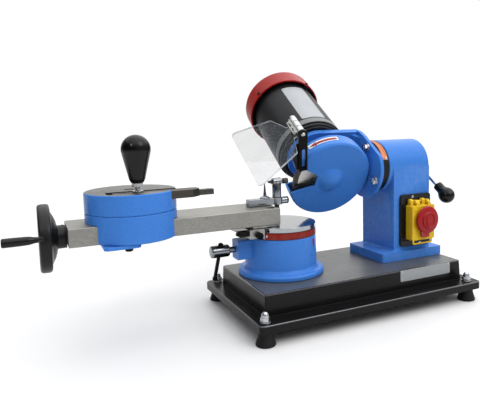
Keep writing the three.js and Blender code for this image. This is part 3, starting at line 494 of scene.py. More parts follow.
BLUE = (62, 122, 203)
blue = paint('blue_paint', BLUE, rough=0.28, peel=0.035, var=0.035, coat=0.0, coat_rough=0.08, dust=0.015, wear=0.08, spec=0.12)
black = paint('black_paint', (16, 16, 17), rough=0.22, peel=0.008, var=0.03, coat=0.0, dust=0.0, wear=0.012, spec=0.16)
# lighter, glossier black for the edge lines: a painted highlight together with real gloss
black_painted_highlight_edge = paint('black_painted_highlight_edge', (44, 44, 46), rough=0.16, peel=0.01, coat=0.0, dust=0.0, wear=0.03, spec=0.9)
# top face of the base: the same black paint with a lighter base colour, a painted reflection of the bright
# surroundings, plus a real higher specular
black_top_painted_reflection = paint('black_satin_painted_reflection', (68, 70, 70), rough=0.36, peel=0.10, coat=0.0, dust=0.03, wear=0.06, grain=900, spec=0.8)
motor_black = paint('motor_black', (10, 12, 16), rough=0.38, peel=0.05, coat=0.0, dust=0.01, wear=0.05, grain=700, spec=0.18)
ring_black = paint('ring_black', (10, 10, 11), rough=0.5, peel=0.05, coat=0.0, dust=0.02, wear=0.06, spec=0.25)
red_paint = paint('red_paint', (150, 18, 12), rough=0.30, peel=0.03, coat=0.0, dust=0.005, wear=0.05, spec=0.16)
grey_band = paint('grey_paint', (112, 114, 114), rough=0.45, peel=0.05, coat=0.0, dust=0.02, wear=0.08, spec=0.35)
rubber = plastic('rubber', (14, 14, 15), rough=0.6, grain=420, peel=0.15, var=0.12, dust=0.05, spec=0.25)
blk_plastic = plastic('black_plastic', (9, 9, 10), rough=0.22, grain=900, peel=0.03, dust=0.01, spec=0.25)
wheel_plastic = plastic('wheel_plastic', (12, 13, 14), rough=0.36, grain=1100, peel=0.08, dust=0.01, spec=0.25)
yellow = plastic('yellow_plastic', (216, 176, 28), rough=0.38, grain=600, peel=0.06, dust=0.02)
red_plastic = plastic('red_plastic', (148, 10, 15), rough=0.36, grain=500, peel=0.04, coat=0.1, dust=0.015)
green_plastic = plastic('green_plastic', (24, 120, 54), rough=0.38, grain=500, peel=0.06, dust=0.02)
white_ink = plastic('white_ink', (226, 226, 224), rough=0.45, grain=500, peel=0.03, dust=0.0)
red_ink = plastic('red_ink', (140, 13, 16), rough=0.45, grain=500, peel=0.03, dust=0.0)
dark_ink = plastic('dark_ink', (30, 26, 24), rough=0.5, grain=500, peel=0.03, dust=0.0)
scale_red = paint('scale_red', (130, 24, 10), rough=0.34, peel=0.03, coat=0.0, var=0.12, dust=0.0, spec=0.15)
copper_scale = metal('copper_scale', (170, 104, 74), rough=0.34, grain=200, var=0.14, stain=0.2)
zinc = metal('zinc', (188, 190, 192), rough=0.22, grain=500, var=0.10, stain=0.10)
chrome = metal('chrome', (160, 164, 167), rough=0.09, grain=300, var=0.04, scratch=0.2, stain=0.05, bump=0.02)
chrome_turned = metal('chrome_bar', (132, 136, 141), rough=0.16, stretch=(0.2, 1, 1), grain=400, var=0.12, scratch=0.3, stain=0.10, bump=0.05)
ground = metal('ground_steel', (150, 149, 144), rough=0.46, stretch=(0.35, 1, 1), grain=420, var=0.14, scratch=0.5, stain=0.12, dark=0.55, bump=0.08)
steel = metal('steel', (150, 150, 148), rough=0.34, stretch=(1, 0.25, 1), grain=380, var=0.14, stain=0.15)
dark_steel = metal('dark_steel', (74, 73, 70), rough=0.4, stretch=(0.25, 1, 1), grain=420, var=0.2, scratch=0.4, stain=0.25, dark=0.3)
oxide = metal('black_oxide', (26, 26, 28), rough=0.38, grain=500, var=0.2, stain=0.1)
plate = metal('name_plate', (150, 153, 156), rough=0.4, metallic=0.45, stretch=(1, 0.15, 1), grain=500, var=0.08, stain=0.06)
# dish wheel's front face: steel with scratches and stains, its near-white base colour a painted reflection of the light
# coming through the guard's mouth
painted_reflection_face = metal('wheel_face_painted_reflection', (244, 241, 234), rough=0.32, grain=260, var=0.04, scratch=0.3, stain=0.08, metallic=0.15)
wheel_grey = metal('wheel_grey', (92, 89, 84), rough=0.5, grain=340, var=0.16, stain=0.25, dark=0.3)
brass = metal('brass', (176, 142, 74), rough=0.3, grain=300, var=0.10)
copper = metal('copper', (168, 92, 52), rough=0.4, grain=500, var=0.15)


def turned_face():
    """Dark machined steel with circular turning marks round the blade disc's centre."""
    k = Mat('turned_steel', 0.36, 1.0)
    mp = k.node('ShaderNodeMapping')
    mp.inputs['Location'].default_value = (0.1486, -0.1141, 0)
    mp.inputs['Scale'].default_value = (1, 1, 0)
    k.link(k.tc.outputs['Object'], mp.inputs['Vector'])
    ln = k.node('ShaderNodeVectorMath', operation='LENGTH')
    k.link(mp.outputs['Vector'], ln.inputs[0])
    n = k.node('ShaderNodeTexNoise', noise_dimensions='1D')
    n.inputs['Scale'].default_value = 900
    n.inputs['Detail'].default_value = 3
    k.link(ln.outputs['Value'], n.inputs['W'])
    base = lin((84, 84, 83))
    c = k.ramp(n.outputs['Fac'], [(0.3, mix_col(base, (0, 0, 0), 0.25)), (0.7, mix_col(base, (1, 1, 1), 0.12))])
    blot = k.rng(k.noise(26, 5), 0.0, 1.0, 0.45, 0.7)
    c = k.mix(k.math('MULTIPLY', blot, 0.3), c, (0.10, 0.085, 0.07))
    r = k.rng(k.noise(30, 4), 0.3, 0.46)
    return k.out(c, r, k.bump(n.outputs['Fac'], 0.12, 0.0003))


turned = turned_face()


def clear_sheet():
    """Clear plastic: see-through, slightly milky, with dust specks and fine scratches."""
    k = Mat('clear_plastic', 0.06)
    k.b.inputs['IOR'].default_value = 1.49
    k.b.inputs['Transmission Weight'].default_value = 0.0
    specks = k.rng(k.noise(380, 2), 0.0, 1.0, 0.66, 0.72)
    smear = k.rng(k.noise(12, 5, (1, 2, 1)), 0.0, 1.0, 0.4, 0.75)
    c = k.mix(specks, (0.10, 0.115, 0.135), (0.75, 0.77, 0.8))
    a = k.math('ADD', k.math('MULTIPLY', specks, 0.4), k.math('ADD', k.math('MULTIPLY', smear, 0.04), 0.12), clamp=True)
    k.link(a, k.b.inputs['Alpha'])
    r = k.math('ADD', k.math('MULTIPLY', smear, 0.10), 0.05)
    k.b.inputs['Specular IOR Level'].default_value = 0.25
    k.m.surface_render_method = 'BLENDED'
    return k.out(c, r, k.bump(k.noise(16, 2), 0.05, 0.001))


def clear_rim_painted_highlight():
    """Cut edge of the clear sheet: a lighter grey, more opaque than the sheet, a painted highlight where the light
    collects.
    """
    k = Mat('clear_edge_painted_highlight', 0.3)
    c = k.ramp(k.noise(60, 3), [(0.3, (0.42, 0.45, 0.47)), (0.7, (0.62, 0.65, 0.67))])
    k.link(k.rng(k.noise(90, 3), 0.5, 0.8), k.b.inputs['Alpha'])
    k.m.surface_render_method = 'BLENDED'
    return k.out(c, k.rng(k.noise(60, 2), 0.2, 0.4), k.bump(k.noise(300, 2), 0.05, 0.0003))


clear = clear_sheet()
clear_edge_painted_highlight = clear_rim_painted_highlight()

# ---------------------------------------------------------------------- base
outer = [(0, 400, 0, 228.5, 7, 19.0), (0, 400, 0, 228.5, 7, 19.9), (0, 400, 0, 228.5, 7, 29.2), (0.35, 399.65, 0.35, 228.15, 6.7, 30.3), (1.3, 398.7, 1.3, 227.2, 6, 31.0),
         (18.8, 384.2, 26.8, 201.7, 3.4, 31.0), (19.8, 383.2, 27.9, 200.6, 2.8, 31.4), (20.1, 382.9, 28.2, 200.3, 2.6, 32.4),
         (20.9, 381.1, 29.3, 199.2, 2.6, 60.2), (21.3, 380.7, 29.7, 198.8, 2.6, 61.6), (22.6, 379.4, 31.0, 197.5, 2.4, 62.4)]
inner = [(25.0, 377.0, 33.4, 195.1, 2.5, 58.4), (24.2, 378.8, 32.2, 196.3, 2.5, 29.0), (4, 396, 4, 224.5, 6, 27.0), (4, 396, 4, 224.5, 6, 19.0)]
rings = [rrect(a, b, c, d, r, z) for a, b, c, d, r, z in outer]
inn = [rrect(a, b, c, d, r, z) for a, b, c, d, r, z in inner]
top = len(rings) - 1
v1, f1 = loft(rings, cap=False)
N = len(rings[0])
f1 = f1 + [tuple(top * N + i for i in range(N))]
v2, f2 = loft(inn, cap=False)
f2 = [tuple(reversed(q)) for q in f2] + [tuple(range(N))]
o = len(v1)
base_v = v1 + v2
base_f = f1 + [tuple(o + i for i in q) for q in f2]
L = o + (len(inn) - 1) * N
base_f += [(i, L + i, L + (i + 1) % N, (i + 1) % N) for i in range(N)]


def base_pick(c, n):
    # top faces take the lighter black: a painted reflection
    if n.z > 0.9 and c.z > 0.06:
        return 1
    # rounded top edges of the lip and of the raised box get a lighter, glossier black: a painted highlight line, with a
    # real higher specular
    if 0.2 < n.z < 0.97 and (0.0291 < c.z < 0.0311 and n.z > 0.3 or c.z > 0.0603):
        return 2
    return 0


solid('base_shell', [(base_v, base_f)], [black, black_top_painted_reflection, black_painted_highlight_edge], 'base', node='base_housing', pick=base_pick, angle=40)

feet = {'front_left': (12.5, 12.5), 'front_right': (379.3, 12.5), 'rear_left': (17.5, 216), 'rear_right': (379.3, 216)}
for nm, (x, y) in feet.items():
    solid('rubber_foot_' + nm, [lathe([(0, 0), (11.5, 0.0), (13.6, 0.2, 0.6), (14.2, 1.6, 0.9), (13.6, 4.0, 1.2), (10.9, 12.0, 2), (10.4, 15.2, 1), (10.4, 18.6, 0.6), (0, 18.6)], 'z', x, y, 48)],
          rubber, 'base', node='foot_' + nm)
    turn = {'front_left': 12, 'front_right': 37, 'rear_left': 5, 'rear_right': 50}[nm]
    hexed = hexa('z', 12.2, 32.9, 38.6, x, y, turn)
    solid('acorn_nut_' + nm, [lathe([(0, 31.15), (7.6, 31.15, 0.2), (7.6, 32.6, 0.3), (0, 32.6)], 'z', x, y, 40), hexed,
                              lathe([(0, 38.2), (5.5, 38.2), (5.55, 39.6), (5.3, 41.6), (4.6, 43.4), (3.4, 44.9), (1.8, 45.7), (0, 46.0)], 'z', x, y, 32),
                              rod('z', 3.9, 7, 31.5, x, y, 20)],
          zinc, 'base', node='foot_bolt_' + nm, bevel=0.35, seg=2, limit=40)

# bare plate on the front wall, following its slope
tilt = math.atan2(1.1, 28.0)
PL = Matrix.Translation((0, 28.75, 47)) @ Matrix.Rotation(-tilt, 4, 'X')
solid('front_plate', [moved(box(255.3, 358.3, -0.55, 0.4, -3.2, 14.4, 1.6, 'y'), PL)], plate, 'base', bevel=0.15, seg=2)
solid('front_plate_rivets', [moved(lathe([(0, -1.25), (0.9, -1.1), (1.3, -0.5), (1.3, 0.2), (0, 0.2)], 'y', px, pz, 16), PL)
                             for px in (258.5, 355.1) for pz in (-0.6, 11.8)], zinc, 'base')
# cord gland at the rear
solid('gland', [rod('y', 7.7, 196, 202.5, 330, 46, 32), hexa('y', 21.6, 202.1, 207.3, 330, 46, 8),
                lathe([(0, 206.9), (9.3, 206.9), (9.3, 209.7, 0.6), (8.4, 210.5, 0.6), (7.2, 215.9, 1.2), (4.2, 216.4), (4.2, 207.5), (0, 207.5)], 'y', 330, 46, 40)],
      blk_plastic, 'base', node='cord_gland', bevel=0.4, seg=2, limit=40)

# ------------------------------------------------------------- swivel seat
SX = 93.9
seat = lathe([(21.0, 62.75), (67.3, 62.75, 0.5), (68.0, 63.6, 0.6), (68.0, 68.0, 2.0), (65.8, 70.6, 2.2), (60.5, 71.2, 3.5), (57.4, 76.0, 4), (56.3, 121.8), (55.3, 123.1, 0.6), (21.0, 123.1), (21.0, 62.75)], 'z', SX, AY, 128)
solid('seat', [seat], blue, 'base', node='swivel_seat', join=[box(16, 48, 113, 138, 91.5, 121.6, 2.6, 'x')],
      cut=[rod('x', 5.0, 8, 60, AY, 106.5, 32)], bevel=1.1, seg=3, limit=50, angle=40)

def band(r0, r1, z0, z1, d0, d1, cx, cy, seg=16):
    """Curved plate round a vertical cylinder."""
    verts, faces = [], []
    for k in range(seg + 1):
        t = rad(d0 + (d1 - d0) * k / seg)
        for r, z in ((r0, z0), (r1, z0), (r1, z1), (r0, z1)):
            verts.append((cx + r * math.cos(t), cy + r * math.sin(t), z))
    for k in range(seg):
        a, b = 4 * k, 4 * k + 4
        for i in range(4):
            j = (i + 1) % 4
            faces.append((a + i, a + j, b + j, b + i))
    faces += [(3, 2, 1, 0), tuple(4 * seg + i for i in range(4))]
    return verts, faces


solid('seat_pointer', [band(56.0, 57.05, 107.2, 118.6, -54.6, -49.4, SX, AY, 6)], red_ink, 'base', bevel=0.3, seg=2)

# clamp screw and tommy bar
hole = moved(rod('z', 3.1, -20, 20, 0, 0, 28), Matrix.Translation((-9, AY, 106.5)) @ Matrix.Rotation(0.49, 4, 'X'))
solid('clamp_screw', [lathe([(0, -23.6), (6.5, -23.6), (8.9, -22.6, 1.2), (9.4, -20.5, 0.8), (9.4, 3.6, 0.8), (8.2, 5.4, 0.8), (4.7, 5.4, 0.4), (4.7, 16), (4.6, 71), (0, 71.5)], 'x', AY, 106.5, 56)],
      chrome_turned, 'seat_clamp', node='seat_clamp_screw', cut=[hole], bevel=0.35, seg=2, limit=45)
TB = Matrix.Translation((-9, AY, 106.5)) @ Matrix.Rotation(0.49, 4, 'X')
solid('tommy_bar', [moved(lathe([(0, -59), (2.6, -59), (3.9, -58, 0.8), (3.9, -54.3, 0.8), (2.8, -52.6, 0.6), (2.8, 9.2), (3.2, 9.9, 0.5), (4.0, 11.0, 1.2), (3.9, 13.6, 1.6), (2.0, 15.0, 0.8), (0, 15)], 'z', 0, 0, 28), TB)],
      oxide, 'tommy_bar', node='clamp_tommy_bar')

# ----------------------------------------------------------- swivel table


def dee(r, cx, cy, flat, n=96):
    """Circle cut straight at x = flat, kept on the right."""
    a = math.degrees(math.acos((flat - cx) / r))
    return [(cx + r * math.cos(rad(-a + 2 * a * k / n)), cy + r * math.sin(rad(-a + 2 * a * k / n))) for k in range(n + 1)]


solid('table_disc', [prism(dee(56.4, SX, AY, 48.9), 134.2, 141.6)], chrome, 'table', node='swivel_table', bevel=0.9, seg=4, limit=50, angle=40)
solid('table_spigot', [prism(dee(53.8, SX, AY, 50.3), 123.5, 134.3), rod('z', 18.9, 84, 124, SX, AY, 64)], steel, 'table')
flat_a = math.degrees(math.acos((50.1 - SX) / 56.3))
solid('scale_band', [band(54.2, 56.3, 123.9, 133.5, -flat_a, flat_a, SX, AY, 120)], scale_red, 'table', node='swivel_scale', bevel=0.25, seg=2, limit=50)
ticks = []
for k in range(-24, 25):
    a = -90 + k * 2.5
    if abs(a) > flat_a - 4:
        continue
    long = k % 4 == 0
    ticks.append(band(56.2, 56.42, 124.3, 128.6 if long else 126.8, a - 0.16, a + 0.16, SX, AY, 1))
solid('scale_ticks', ticks, dark_ink, 'table', weighted=False)
ra = rad(-flat_a + 3.2)
RV = Matrix.Translation((SX + 56.3 * math.cos(ra), AY + 56.3 * math.sin(ra), 129)) @ Matrix.Rotation(ra, 4, 'Z')
solid('scale_rivet', [moved(lathe([(0, 1.5), (1.2, 1.2), (2.1, 0.4), (2.2, -0.6), (0, -0.6)], 'x', 0, 0, 24), RV)], zinc, 'table')
solid('swivel_stud', [rod('z', 25.8, 74.1, 78.9, SX, AY, 48, 0.5), hexa('z', 23.6, 67.1, 74.3, SX, AY), rod('z', 7.5, 78, 104, SX, AY, 28)], zinc, 'table', node='swivel_bolt', bevel=0.4, seg=2, limit=40)

solid('rim_bolt', [hexa('z', 7.4, 140.9, 142.2, 63.6, 84.4, 12), rod('z', 4.4, 140.9, 141.9, 63.6, 84.4, 24)], zinc, 'table', bevel=0.2, seg=2, limit=40)

guide = box(24.4, 48.5, 86, 167, 128.2, 142.0)
groove = prism([(27.5, 133.5), (45.5, 133.5), (41.6, 143.0), (31.4, 143.0)], 91.4, 170, 'y')
solid('guide_block', [guide], steel, 'table', node='slide_guide', cut=[groove], bevel=0.5, seg=2)
knurl = []
for k in range(24):
    a = rad(15 * k)
    knurl.append(moved(box(4.55, 5.0, 78.2, 84.6, -0.35, 0.35), Matrix.Translation((38, 0, 133.4)) @ Matrix.Rotation(a, 4, 'Y')))
solid('knurled_screw', [lathe([(0, 77.6), (2.2, 77.6), (2.2, 79.2), (3.0, 79.2), (3.0, 77.3), (4.0, 77.2, 0.4), (4.65, 78.0, 0.4), (4.65, 84.9, 0.5), (4.2, 85.6), (0, 85.6)], 'y', 38, 133.4, 36),
                        rod('y', 2.7, 84, 88.6, 38, 133.4, 20)] + knurl, oxide, 'guide_lock', node='guide_lock_screw', weighted=False)
# black block at the guide's left end: painted shade, a dark piece over the shaded end of the guide
solid('guide_end_shade_block', [box(8.2, 24.6, 87.5, 99, 132.8, 140.4, 1.0, 'y'), rod('x', 2.6, 5.4, 9, 93, 136.6, 20, 0.4)], oxide, 'table', bevel=0.4, seg=2)

# ------------------------------------------------------ carriage and arm bar
carr = [box(32, 76, 91.2, 162, 142.5, 145.05), prism([(28, 133.8), (45, 133.8), (41.2, 142.7), (31.8, 142.7)], 104, 153, 'y')]
solid('carriage_plate', carr, steel, 'carriage', node='feed_carriage', bevel=0.3, seg=2)
solid('arm', [box(-221.6, 77, 90.7, 162.5, 145.3, 169.7, 1.2, 'x')], ground, 'carriage', node='arm_bar',
      cut=[box(-213.6, -40, 118.4, 134.8, 140, 163.2), rod('x', 4.4, -230, -210, AY, 154.8, 28),
           rod('z', 6.2, 151.3, 175, 66.2, 102.6, 40), lathe([(0, 168.4), (7.0, 168.4), (7.0, 175), (0, 175)], 'z', 66.2, 138.5, 40),
           rod('z', 3.0, 152, 175, 66.2, 138.5, 28)], bevel=0.7, seg=3, limit=40, angle=38)

# lead screw with a real thread
tv, tf = [], []
pitch, per, segs = 3.0, 6, 20
nx = int((-42 - -213.2) / pitch * per)
for i in range(nx + 1):
    x = -213.2 + i * pitch / per
    for j in range(segs):
        a = 2 * math.pi * j / segs
        ph = (x / pitch - j / segs) % 1.0
        r = 4.2 + 1.0 * (1 - abs(2 * ph - 1))
        if i in (0, nx):
            r = 4.0
        tv.append((x, AY + r * math.cos(a), 154.8 + r * math.sin(a)))
for i in range(nx):
    for j in range(segs):
        k = (j + 1) % segs
        tf.append((i * segs + j, i * segs + k, (i + 1) * segs + k, (i + 1) * segs + j))
tf += [tuple(range(segs - 1, -1, -1)), tuple(nx * segs + j for j in range(segs))]
solid('feed_screw', [(tv, tf), rod('x', 4.0, -249.8, -213, AY, 154.8, 28)], steel, 'feed_wheel', node='lead_screw', weighted=False, angle=60)

# handwheel: thick rim, dished web, hub and a keyed collar
hw = lathe([(4.3, -249), (11, -250.6, 1), (12.6, -246.5, 2), (20, -245.4), (28, -247.2, 2), (32.4, -253.0, 1.5), (34.5, -254.9, 1.5), (41.4, -255.6, 2), (44.2, -254.0, 2), (44.8, -250.6, 3),
            (44.8, -244.4, 3), (43.6, -241.4, 2), (40.6, -240.6, 1.5), (37.0, -240.8, 1.5), (33.0, -239.4, 3), (28, -236.6, 5), (21.5, -234.2, 4), (16.6, -233.4, 1.2), (15.4, -232.4, 0.8), (15.4, -224.6, 0.4),
            (15.0, -224.2), (15.0, -223.6), (15.5, -223.2, 0.3), (15.5, -221.95, 0.3), (4.3, -221.95), (4.3, -249)], 'x', AY, 154.8, 96)
GY, GZ = AY + 39 * math.cos(2.966), 154.8 + 39 * math.sin(2.966)
solid('hand_wheel', [hw, rod('x', 2.2, -290, -249, GY, GZ, 20), rod('x', 3.5, -290.9, -288.6, GY, GZ, 20), rod('x', 6.2, -256.0 + 0.6, -250, GY, GZ, 32, 0.4)], wheel_plastic, 'feed_wheel',
      node='handwheel', angle=40)
solid('wheel_setscrew', [rod('z', 2.3, 168.5, 170.4, -226.6, AY, 20, 0.3)], oxide, 'feed_wheel')
solid('crank_handle', [lathe([(2.7, -296.0), (3.4, -296.8, 0.3), (5.0, -296.6, 0.8), (5.7, -295.2, 1), (5.75, -285), (5.5, -272), (5.3, -266.5, 2), (4.0, -261.0, 3), (3.7, -257.6, 0.4), (3.5, -256.0), (2.7, -256.0), (2.7, -287.4), (3.9, -287.6), (3.9, -292.4), (2.7, -292.6), (2.7, -296.0)], 'x', GY, GZ, 40)],
      blk_plastic, 'crank_grip', node='handwheel_grip')

# -------------------------------------------------------------- blade holder
HX = -136.1
saddle = lathe([(0, 145.3), (60.7, 145.3, 0.4), (61.9, 146.4, 0.8), (61.9, 181.2, 1.0), (60.9, 182.4, 0.6), (0, 182.4)], 'z', HX, AY, 144)
solid('saddle_body', [saddle], blue, 'saddle', node='blade_saddle', cut=[box(HX - 90, HX + 90, 90.4, 162.8, 130, 170.0)], bevel=0.8, seg=3, limit=50, angle=40)
kp = [(-182, 72, 2), (-177, 68, 2), (-139, 68, 3), (-135, 72, 3), (-135, 182, 3), (-139, 186, 3), (-177, 186, 2), (-182, 182, 2)]
solid('keeper_plate', [prism(kp, 140.6, 145.0)], blue, 'saddle', node='saddle_keeper', bevel=1.0, seg=3)
solid('feed_nut_block', [box(-176, -148, 118.7, 134.5, 145.3, 162.9)], brass, 'saddle', node='feed_nut', cut=[rod('x', 5.6, -180, -140, AY, 154.8, 32)], bevel=0.4, seg=2)
for nm, y in (('front', 77), ('rear', 181)):
    solid('keeper_screw_' + nm, [lathe([(0, 136.1), (4.0, 136.1), (5.0, 136.6, 0.4), (5.2, 137.8), (5.2, 139.8, 0.4), (5.8, 139.9), (5.8, 140.3), (0, 140.3)], 'z', -150, y, 32), rod('z', 2.9, 139, 164, -150, y, 20)],
          oxide, 'saddle', node='keeper_bolt_' + nm, cut=[hexa('z', 4.6, 134, 138.4, -150, y)])

disc = lathe([(0, 182.75), (60.9, 182.75, 0.5), (61.9, 183.9, 1.0), (61.9, 209.0, 1.0), (60.8, 210.2, 0.5), (0, 210.2)], 'z', HX, AY, 144)


def disc_pick(c, n):
    # the ground top and the walls of the slot are bare steel
    p = c * 1000 + Vector((12.5, 12.5, 0))
    if n.z > 0.95 and c.z > 0.19:
        return 1
    if p.z > 197.6 and 85.9 < p.y < 111.7 and (p.x - HX) ** 2 + (p.y - AY) ** 2 < 60.0 ** 2 and p.x < -90:
        return 1
    return None


solid('blade_disc_body', [disc], [blue, turned], 'blade_rest', node='blade_disc', cut=[box(-173, HX + 90, 86.3, 111.3, 197.9, 215)], bevel=0.5, seg=3, limit=50, angle=40, pick=disc_pick)
solid('disc_pin', [rod('z', 6, 171, 183, HX, AY, 32)], steel, 'blade_rest')
solid('centre_boss', [lathe([(0, 210.3), (9, 210.3), (9, 210.9, 0.3), (4.6, 211.2), (4.2, 210.6), (0, 210.5)], 'z', HX + 1.5, AY + 8.5, 40)], turned, 'blade_rest')

bar = prism([(-164, 86.6), (-58.4, 86.6), (-47, 95.6), (-47, 111), (-164, 111)], 198.2, 209.0)
solid('index_arm', [bar], dark_steel, 'index', node='index_bar', join=[prism([(-62, 97.4), (-24.6, 97.4, 1), (-24.6, 108.4, 1), (-62, 108.4)], 198.6, 206.2)],
      cut=[prism([(-158.2, 91.3, 4.1), (-118.2, 91.3, 4.1), (-118.2, 99.7, 4.1), (-158.2, 99.7, 4.1)], 190, 215), rod('z', 2.0, 190, 215, -33, 103, 28)], bevel=0.5, seg=3, limit=40)
SXY = (-132.2, 95.5)
stud = [lathe([(0, 184.8), (3.5, 184.8), (3.5, 236), (0, 236)], 'z', *SXY, 28), lathe([(3.4, 210.1), (7.4, 210.1, 0.3), (7.4, 212.3, 0.3), (3.4, 212.3)], 'z', *SXY, 40), hexa('z', 13.2, 217.7, 222.3, *SXY, 20)]
for k in range(7):
    z = 212.6 + 0.72 * k
    stud.append(lathe([(3.4, z), (3.85, z + 0.3), (3.4, z + 0.62)], 'z', *SXY, 28))
solid('stud_and_nut', stud, zinc, 'blade_rest', node='clamp_stud', bevel=0.3, seg=2, limit=50)
solid('pear_grip', [lathe([(4.0, 223.0), (7.6, 222.8, 0.5), (8.6, 223.6, 0.8), (10.5, 227.5, 2.5), (12.9, 237.6), (15.9, 250.2)] + [(19.4 * math.cos(rad(t)), 267.3 + 19.4 * math.sin(rad(t))) for t in range(-13, 90, 7)] + [(0, 286.7)], 'z', *SXY, 80)],
      blk_plastic, 'blade_clamp', node='clamp_grip', angle=60)

# ---------------------------------------------------------------- tooth stop
PX, PY = 88, 124.7
sb = [box(37.6, 80, 118.6, 130.8, 170.3, 181.3, 1.0, 'x'), rod('x', 5.55, 76, 107, PY, 175.9, 48, 0.9), lathe([(4.7, 170.4), (8.6, 170.4, 0.5), (8.9, 171.0), (8.9, 180.6, 0.6), (8.2, 181.3), (4.7, 181.3), (4.7, 170.4)], 'z', PX, PY, 48),
      lathe([(0, 180.8), (7.9, 180.8), (8.1, 182.0, 0.6), (6.8, 183.3, 1), (4.6, 184.6, 1), (2.8, 185.0, 0.5), (1.9, 192), (0.9, 203.6), (0.4, 205), (0, 205)], 'z', 67.5, PY, 40)]
solid('stop_slide_bar', sb, chrome_turned, 'stop_slide', node='stop_bar', bevel=0.5, seg=2, limit=50)
solid('stop_bar_end', [rod('x', 4.1, 106.7, 107.3, PY, 175.9, 32, 0.1), rod('x', 5.62, 104.2, 106.9, PY, 175.9, 40, 0.3)], oxide, 'stop_slide')
th = []
for k in range(18):
    z = 143.3 + k * 1.5
    th += [(3.5, z), (4.3, z + 0.75)]
post = lathe([(0, 143.2), (3.2, 143.2)] + th + [(3.5, 170.5), (4.2, 171), (4.2, 181.2), (4.2, 181.7), (6.6, 181.7, 0.4), (7.2, 182.4, 0.5), (7.2, 203), (6.4, 205.4, 0.8), (0, 205.6)], 'z', PX, PY, 44)
tee = ring_lathe([(3.4, 80.5), (5.2, 80.5, 0.3), (5.7, 81.1, 0.3), (5.7, 94.9, 0.3), (5.2, 95.5, 0.3), (3.4, 95.5)], 'x', PY, 206.4, 40)
solid('threaded_post', [post], chrome_turned, 'stop_lift', node='stop_post', cut=[rod('x', 3.42, 60, 120, PY, 206.4, 32)], weighted=False)
solid('tee_head', [tee, lathe([(0, 211.2), (2.0, 211.2), (2.0, 212.2, 0.3), (1.1, 212.3), (1.1, 211.6), (0, 211.6)], 'z', 92.5, PY, 24)], chrome_turned, 'stop_lift')
solid('stop_pin_rod', [lathe([(0, 72.5), (0.9, 72.9), (1.8, 74.6), (3.05, 79, 0.4), (3.05, 99), (4.5, 99.3, 0.3), (4.55, 106.4, 0.5), (3.9, 107.2, 0.3), (0, 107.2)], 'x', PY, 206.4, 32)], dark_steel, 'stop_pin', node='tooth_stop')

# -------------------------------------------------------------------- column
web = box(285, 361.2, 81.9, 170, 76.5, 219.8)
col_plate = box(255.6, 382.6, 73.9, 171.5, 62.75, 77.4, 3.0, 'z')
archcyl = lathe([(12.6, 277.2), (43.6, 277.2, 0.6), (44.6, 278.4, 1.0), (44.6, 359.9, 1.5), (43.2, 361.2, 1.2), (12.6, 361.2), (12.6, 277.2)], 'x', AY, 219.8, 128)
solid('column_body', [col_plate], blue, 'base', node='column', join=[web, archcyl], cut=[rod('x', 12.6, 270, 370, AY, 219.8, 48), box(294, 352.2, 90.6, 156.6, 55, 165)], bevel=2.0, seg=4, limit=40, angle=40)
# cast fillet where the web stands on its plate
R5 = 5.0
ringsf = []
for k in range(7):
    off, h = R5 - R5 * math.sin(rad(15 * k)), R5 - R5 * math.cos(rad(15 * k))
    ringsf.append(rrect(285 - off, 361.2 + off, 81.9 - off, min(170 + off, 171.2), max(2.5, 2.0 + off), 77.3 + h))
solid('column_fillet', [loft(ringsf)], blue, 'base', angle=60)

# tilt clamp lever
hubp = ring_lathe([(8.7, 361.8), (16.2, 361.8, 0.4), (17, 362.7, 0.6), (17, 370.5, 1.5), (13.6, 380.6, 1.5), (8.7, 381.4)], 'x', AY, 219.8, 64)
frm, to = Vector((375, AY - 8, 212.8)), Vector((389.7, 69.7, 166.5))
d = (to - frm)
ln = d.length
LV = Matrix.Translation(frm) @ d.to_track_quat('Z', 'Y').to_matrix().to_4x4()
solid('lever_arm', [hubp, lathe([(9, 379.4), (13.2, 379.4), (13.2, 381.2, 0.8), (0, 381.5)], 'x', AY, 219.8, 48), moved(lathe([(0, 0), (3.7, 0), (3.7, ln - 10), (0, ln - 10)], 'z', 0, 0, 28), LV)],
      zinc, 'tilt_clamp', node='clamp_lever')
sph = [(8.2, ln - 13.6, 1.2), (10.2, ln - 9.4)]
for k in range(1, 15):
    a = rad(-43 + 133 * k / 14)
    sph.append((13.8 * math.cos(a) if k < 14 else 0.0, ln + 13.8 * math.sin(a)))
ballp = lathe([(4.0, ln - 25), (6.6, ln - 25, 0.6), (8.0, ln - 23.4, 1.2), (8.2, ln - 19)] + sph, 'z', 0, 0, 56)
solid('lever_knob', [moved(ballp, LV)], blk_plastic, 'tilt_clamp', node='lever_ball', angle=60)

# -------------------------------------------------------------------- switch
solid('switch_back', [box(296, 360.6, 77.6, 81.6, 84, 173, 5.5, 'y')], blk_plastic, 'base', node='switch_box', bevel=0.9, seg=3, limit=40)
solid('switch_back_screws', [lathe([(0, 76.7), (1.4, 76.7), (2.4, 77.1, 0.3), (2.6, 77.8), (0, 77.8)], 'y', sx, sz, 24) for sx, sz in ((321.5, 168.4), (337, 88.2))], zinc, 'base')
fr = [box(306.8, 356.4, 66.0, 77.3, 96.4, 155.2, 2.2, 'y')]
lugs = []
for x0, x1 in ((310.8, 317.8), (335.4, 342.4)):
    lugs.append(prism([(70.0, 154), (77.3, 154), (77.3, 165.0, 1.0), (74.6, 165.4, 1.5), (70.0, 163.4, 2.4)], x0, x1, 'x'))
solid('switch_housing', fr, yellow, 'base', node='switch_frame', cut=[box(312.8, 350.4, 60, 70.4, 102.4, 148.2), rod('y', 8.3, 60, 75, 321.4, 130.4, 40), rod('y', 8.3, 60, 75, 338.6, 130.4, 40)], bevel=0.7, seg=3, limit=40)
solid('switch_lugs', lugs, yellow, 'base', cut=[rod('x', 2.2, 300, 360, 73.5, 161, 24)], bevel=0.5, seg=2, limit=40)
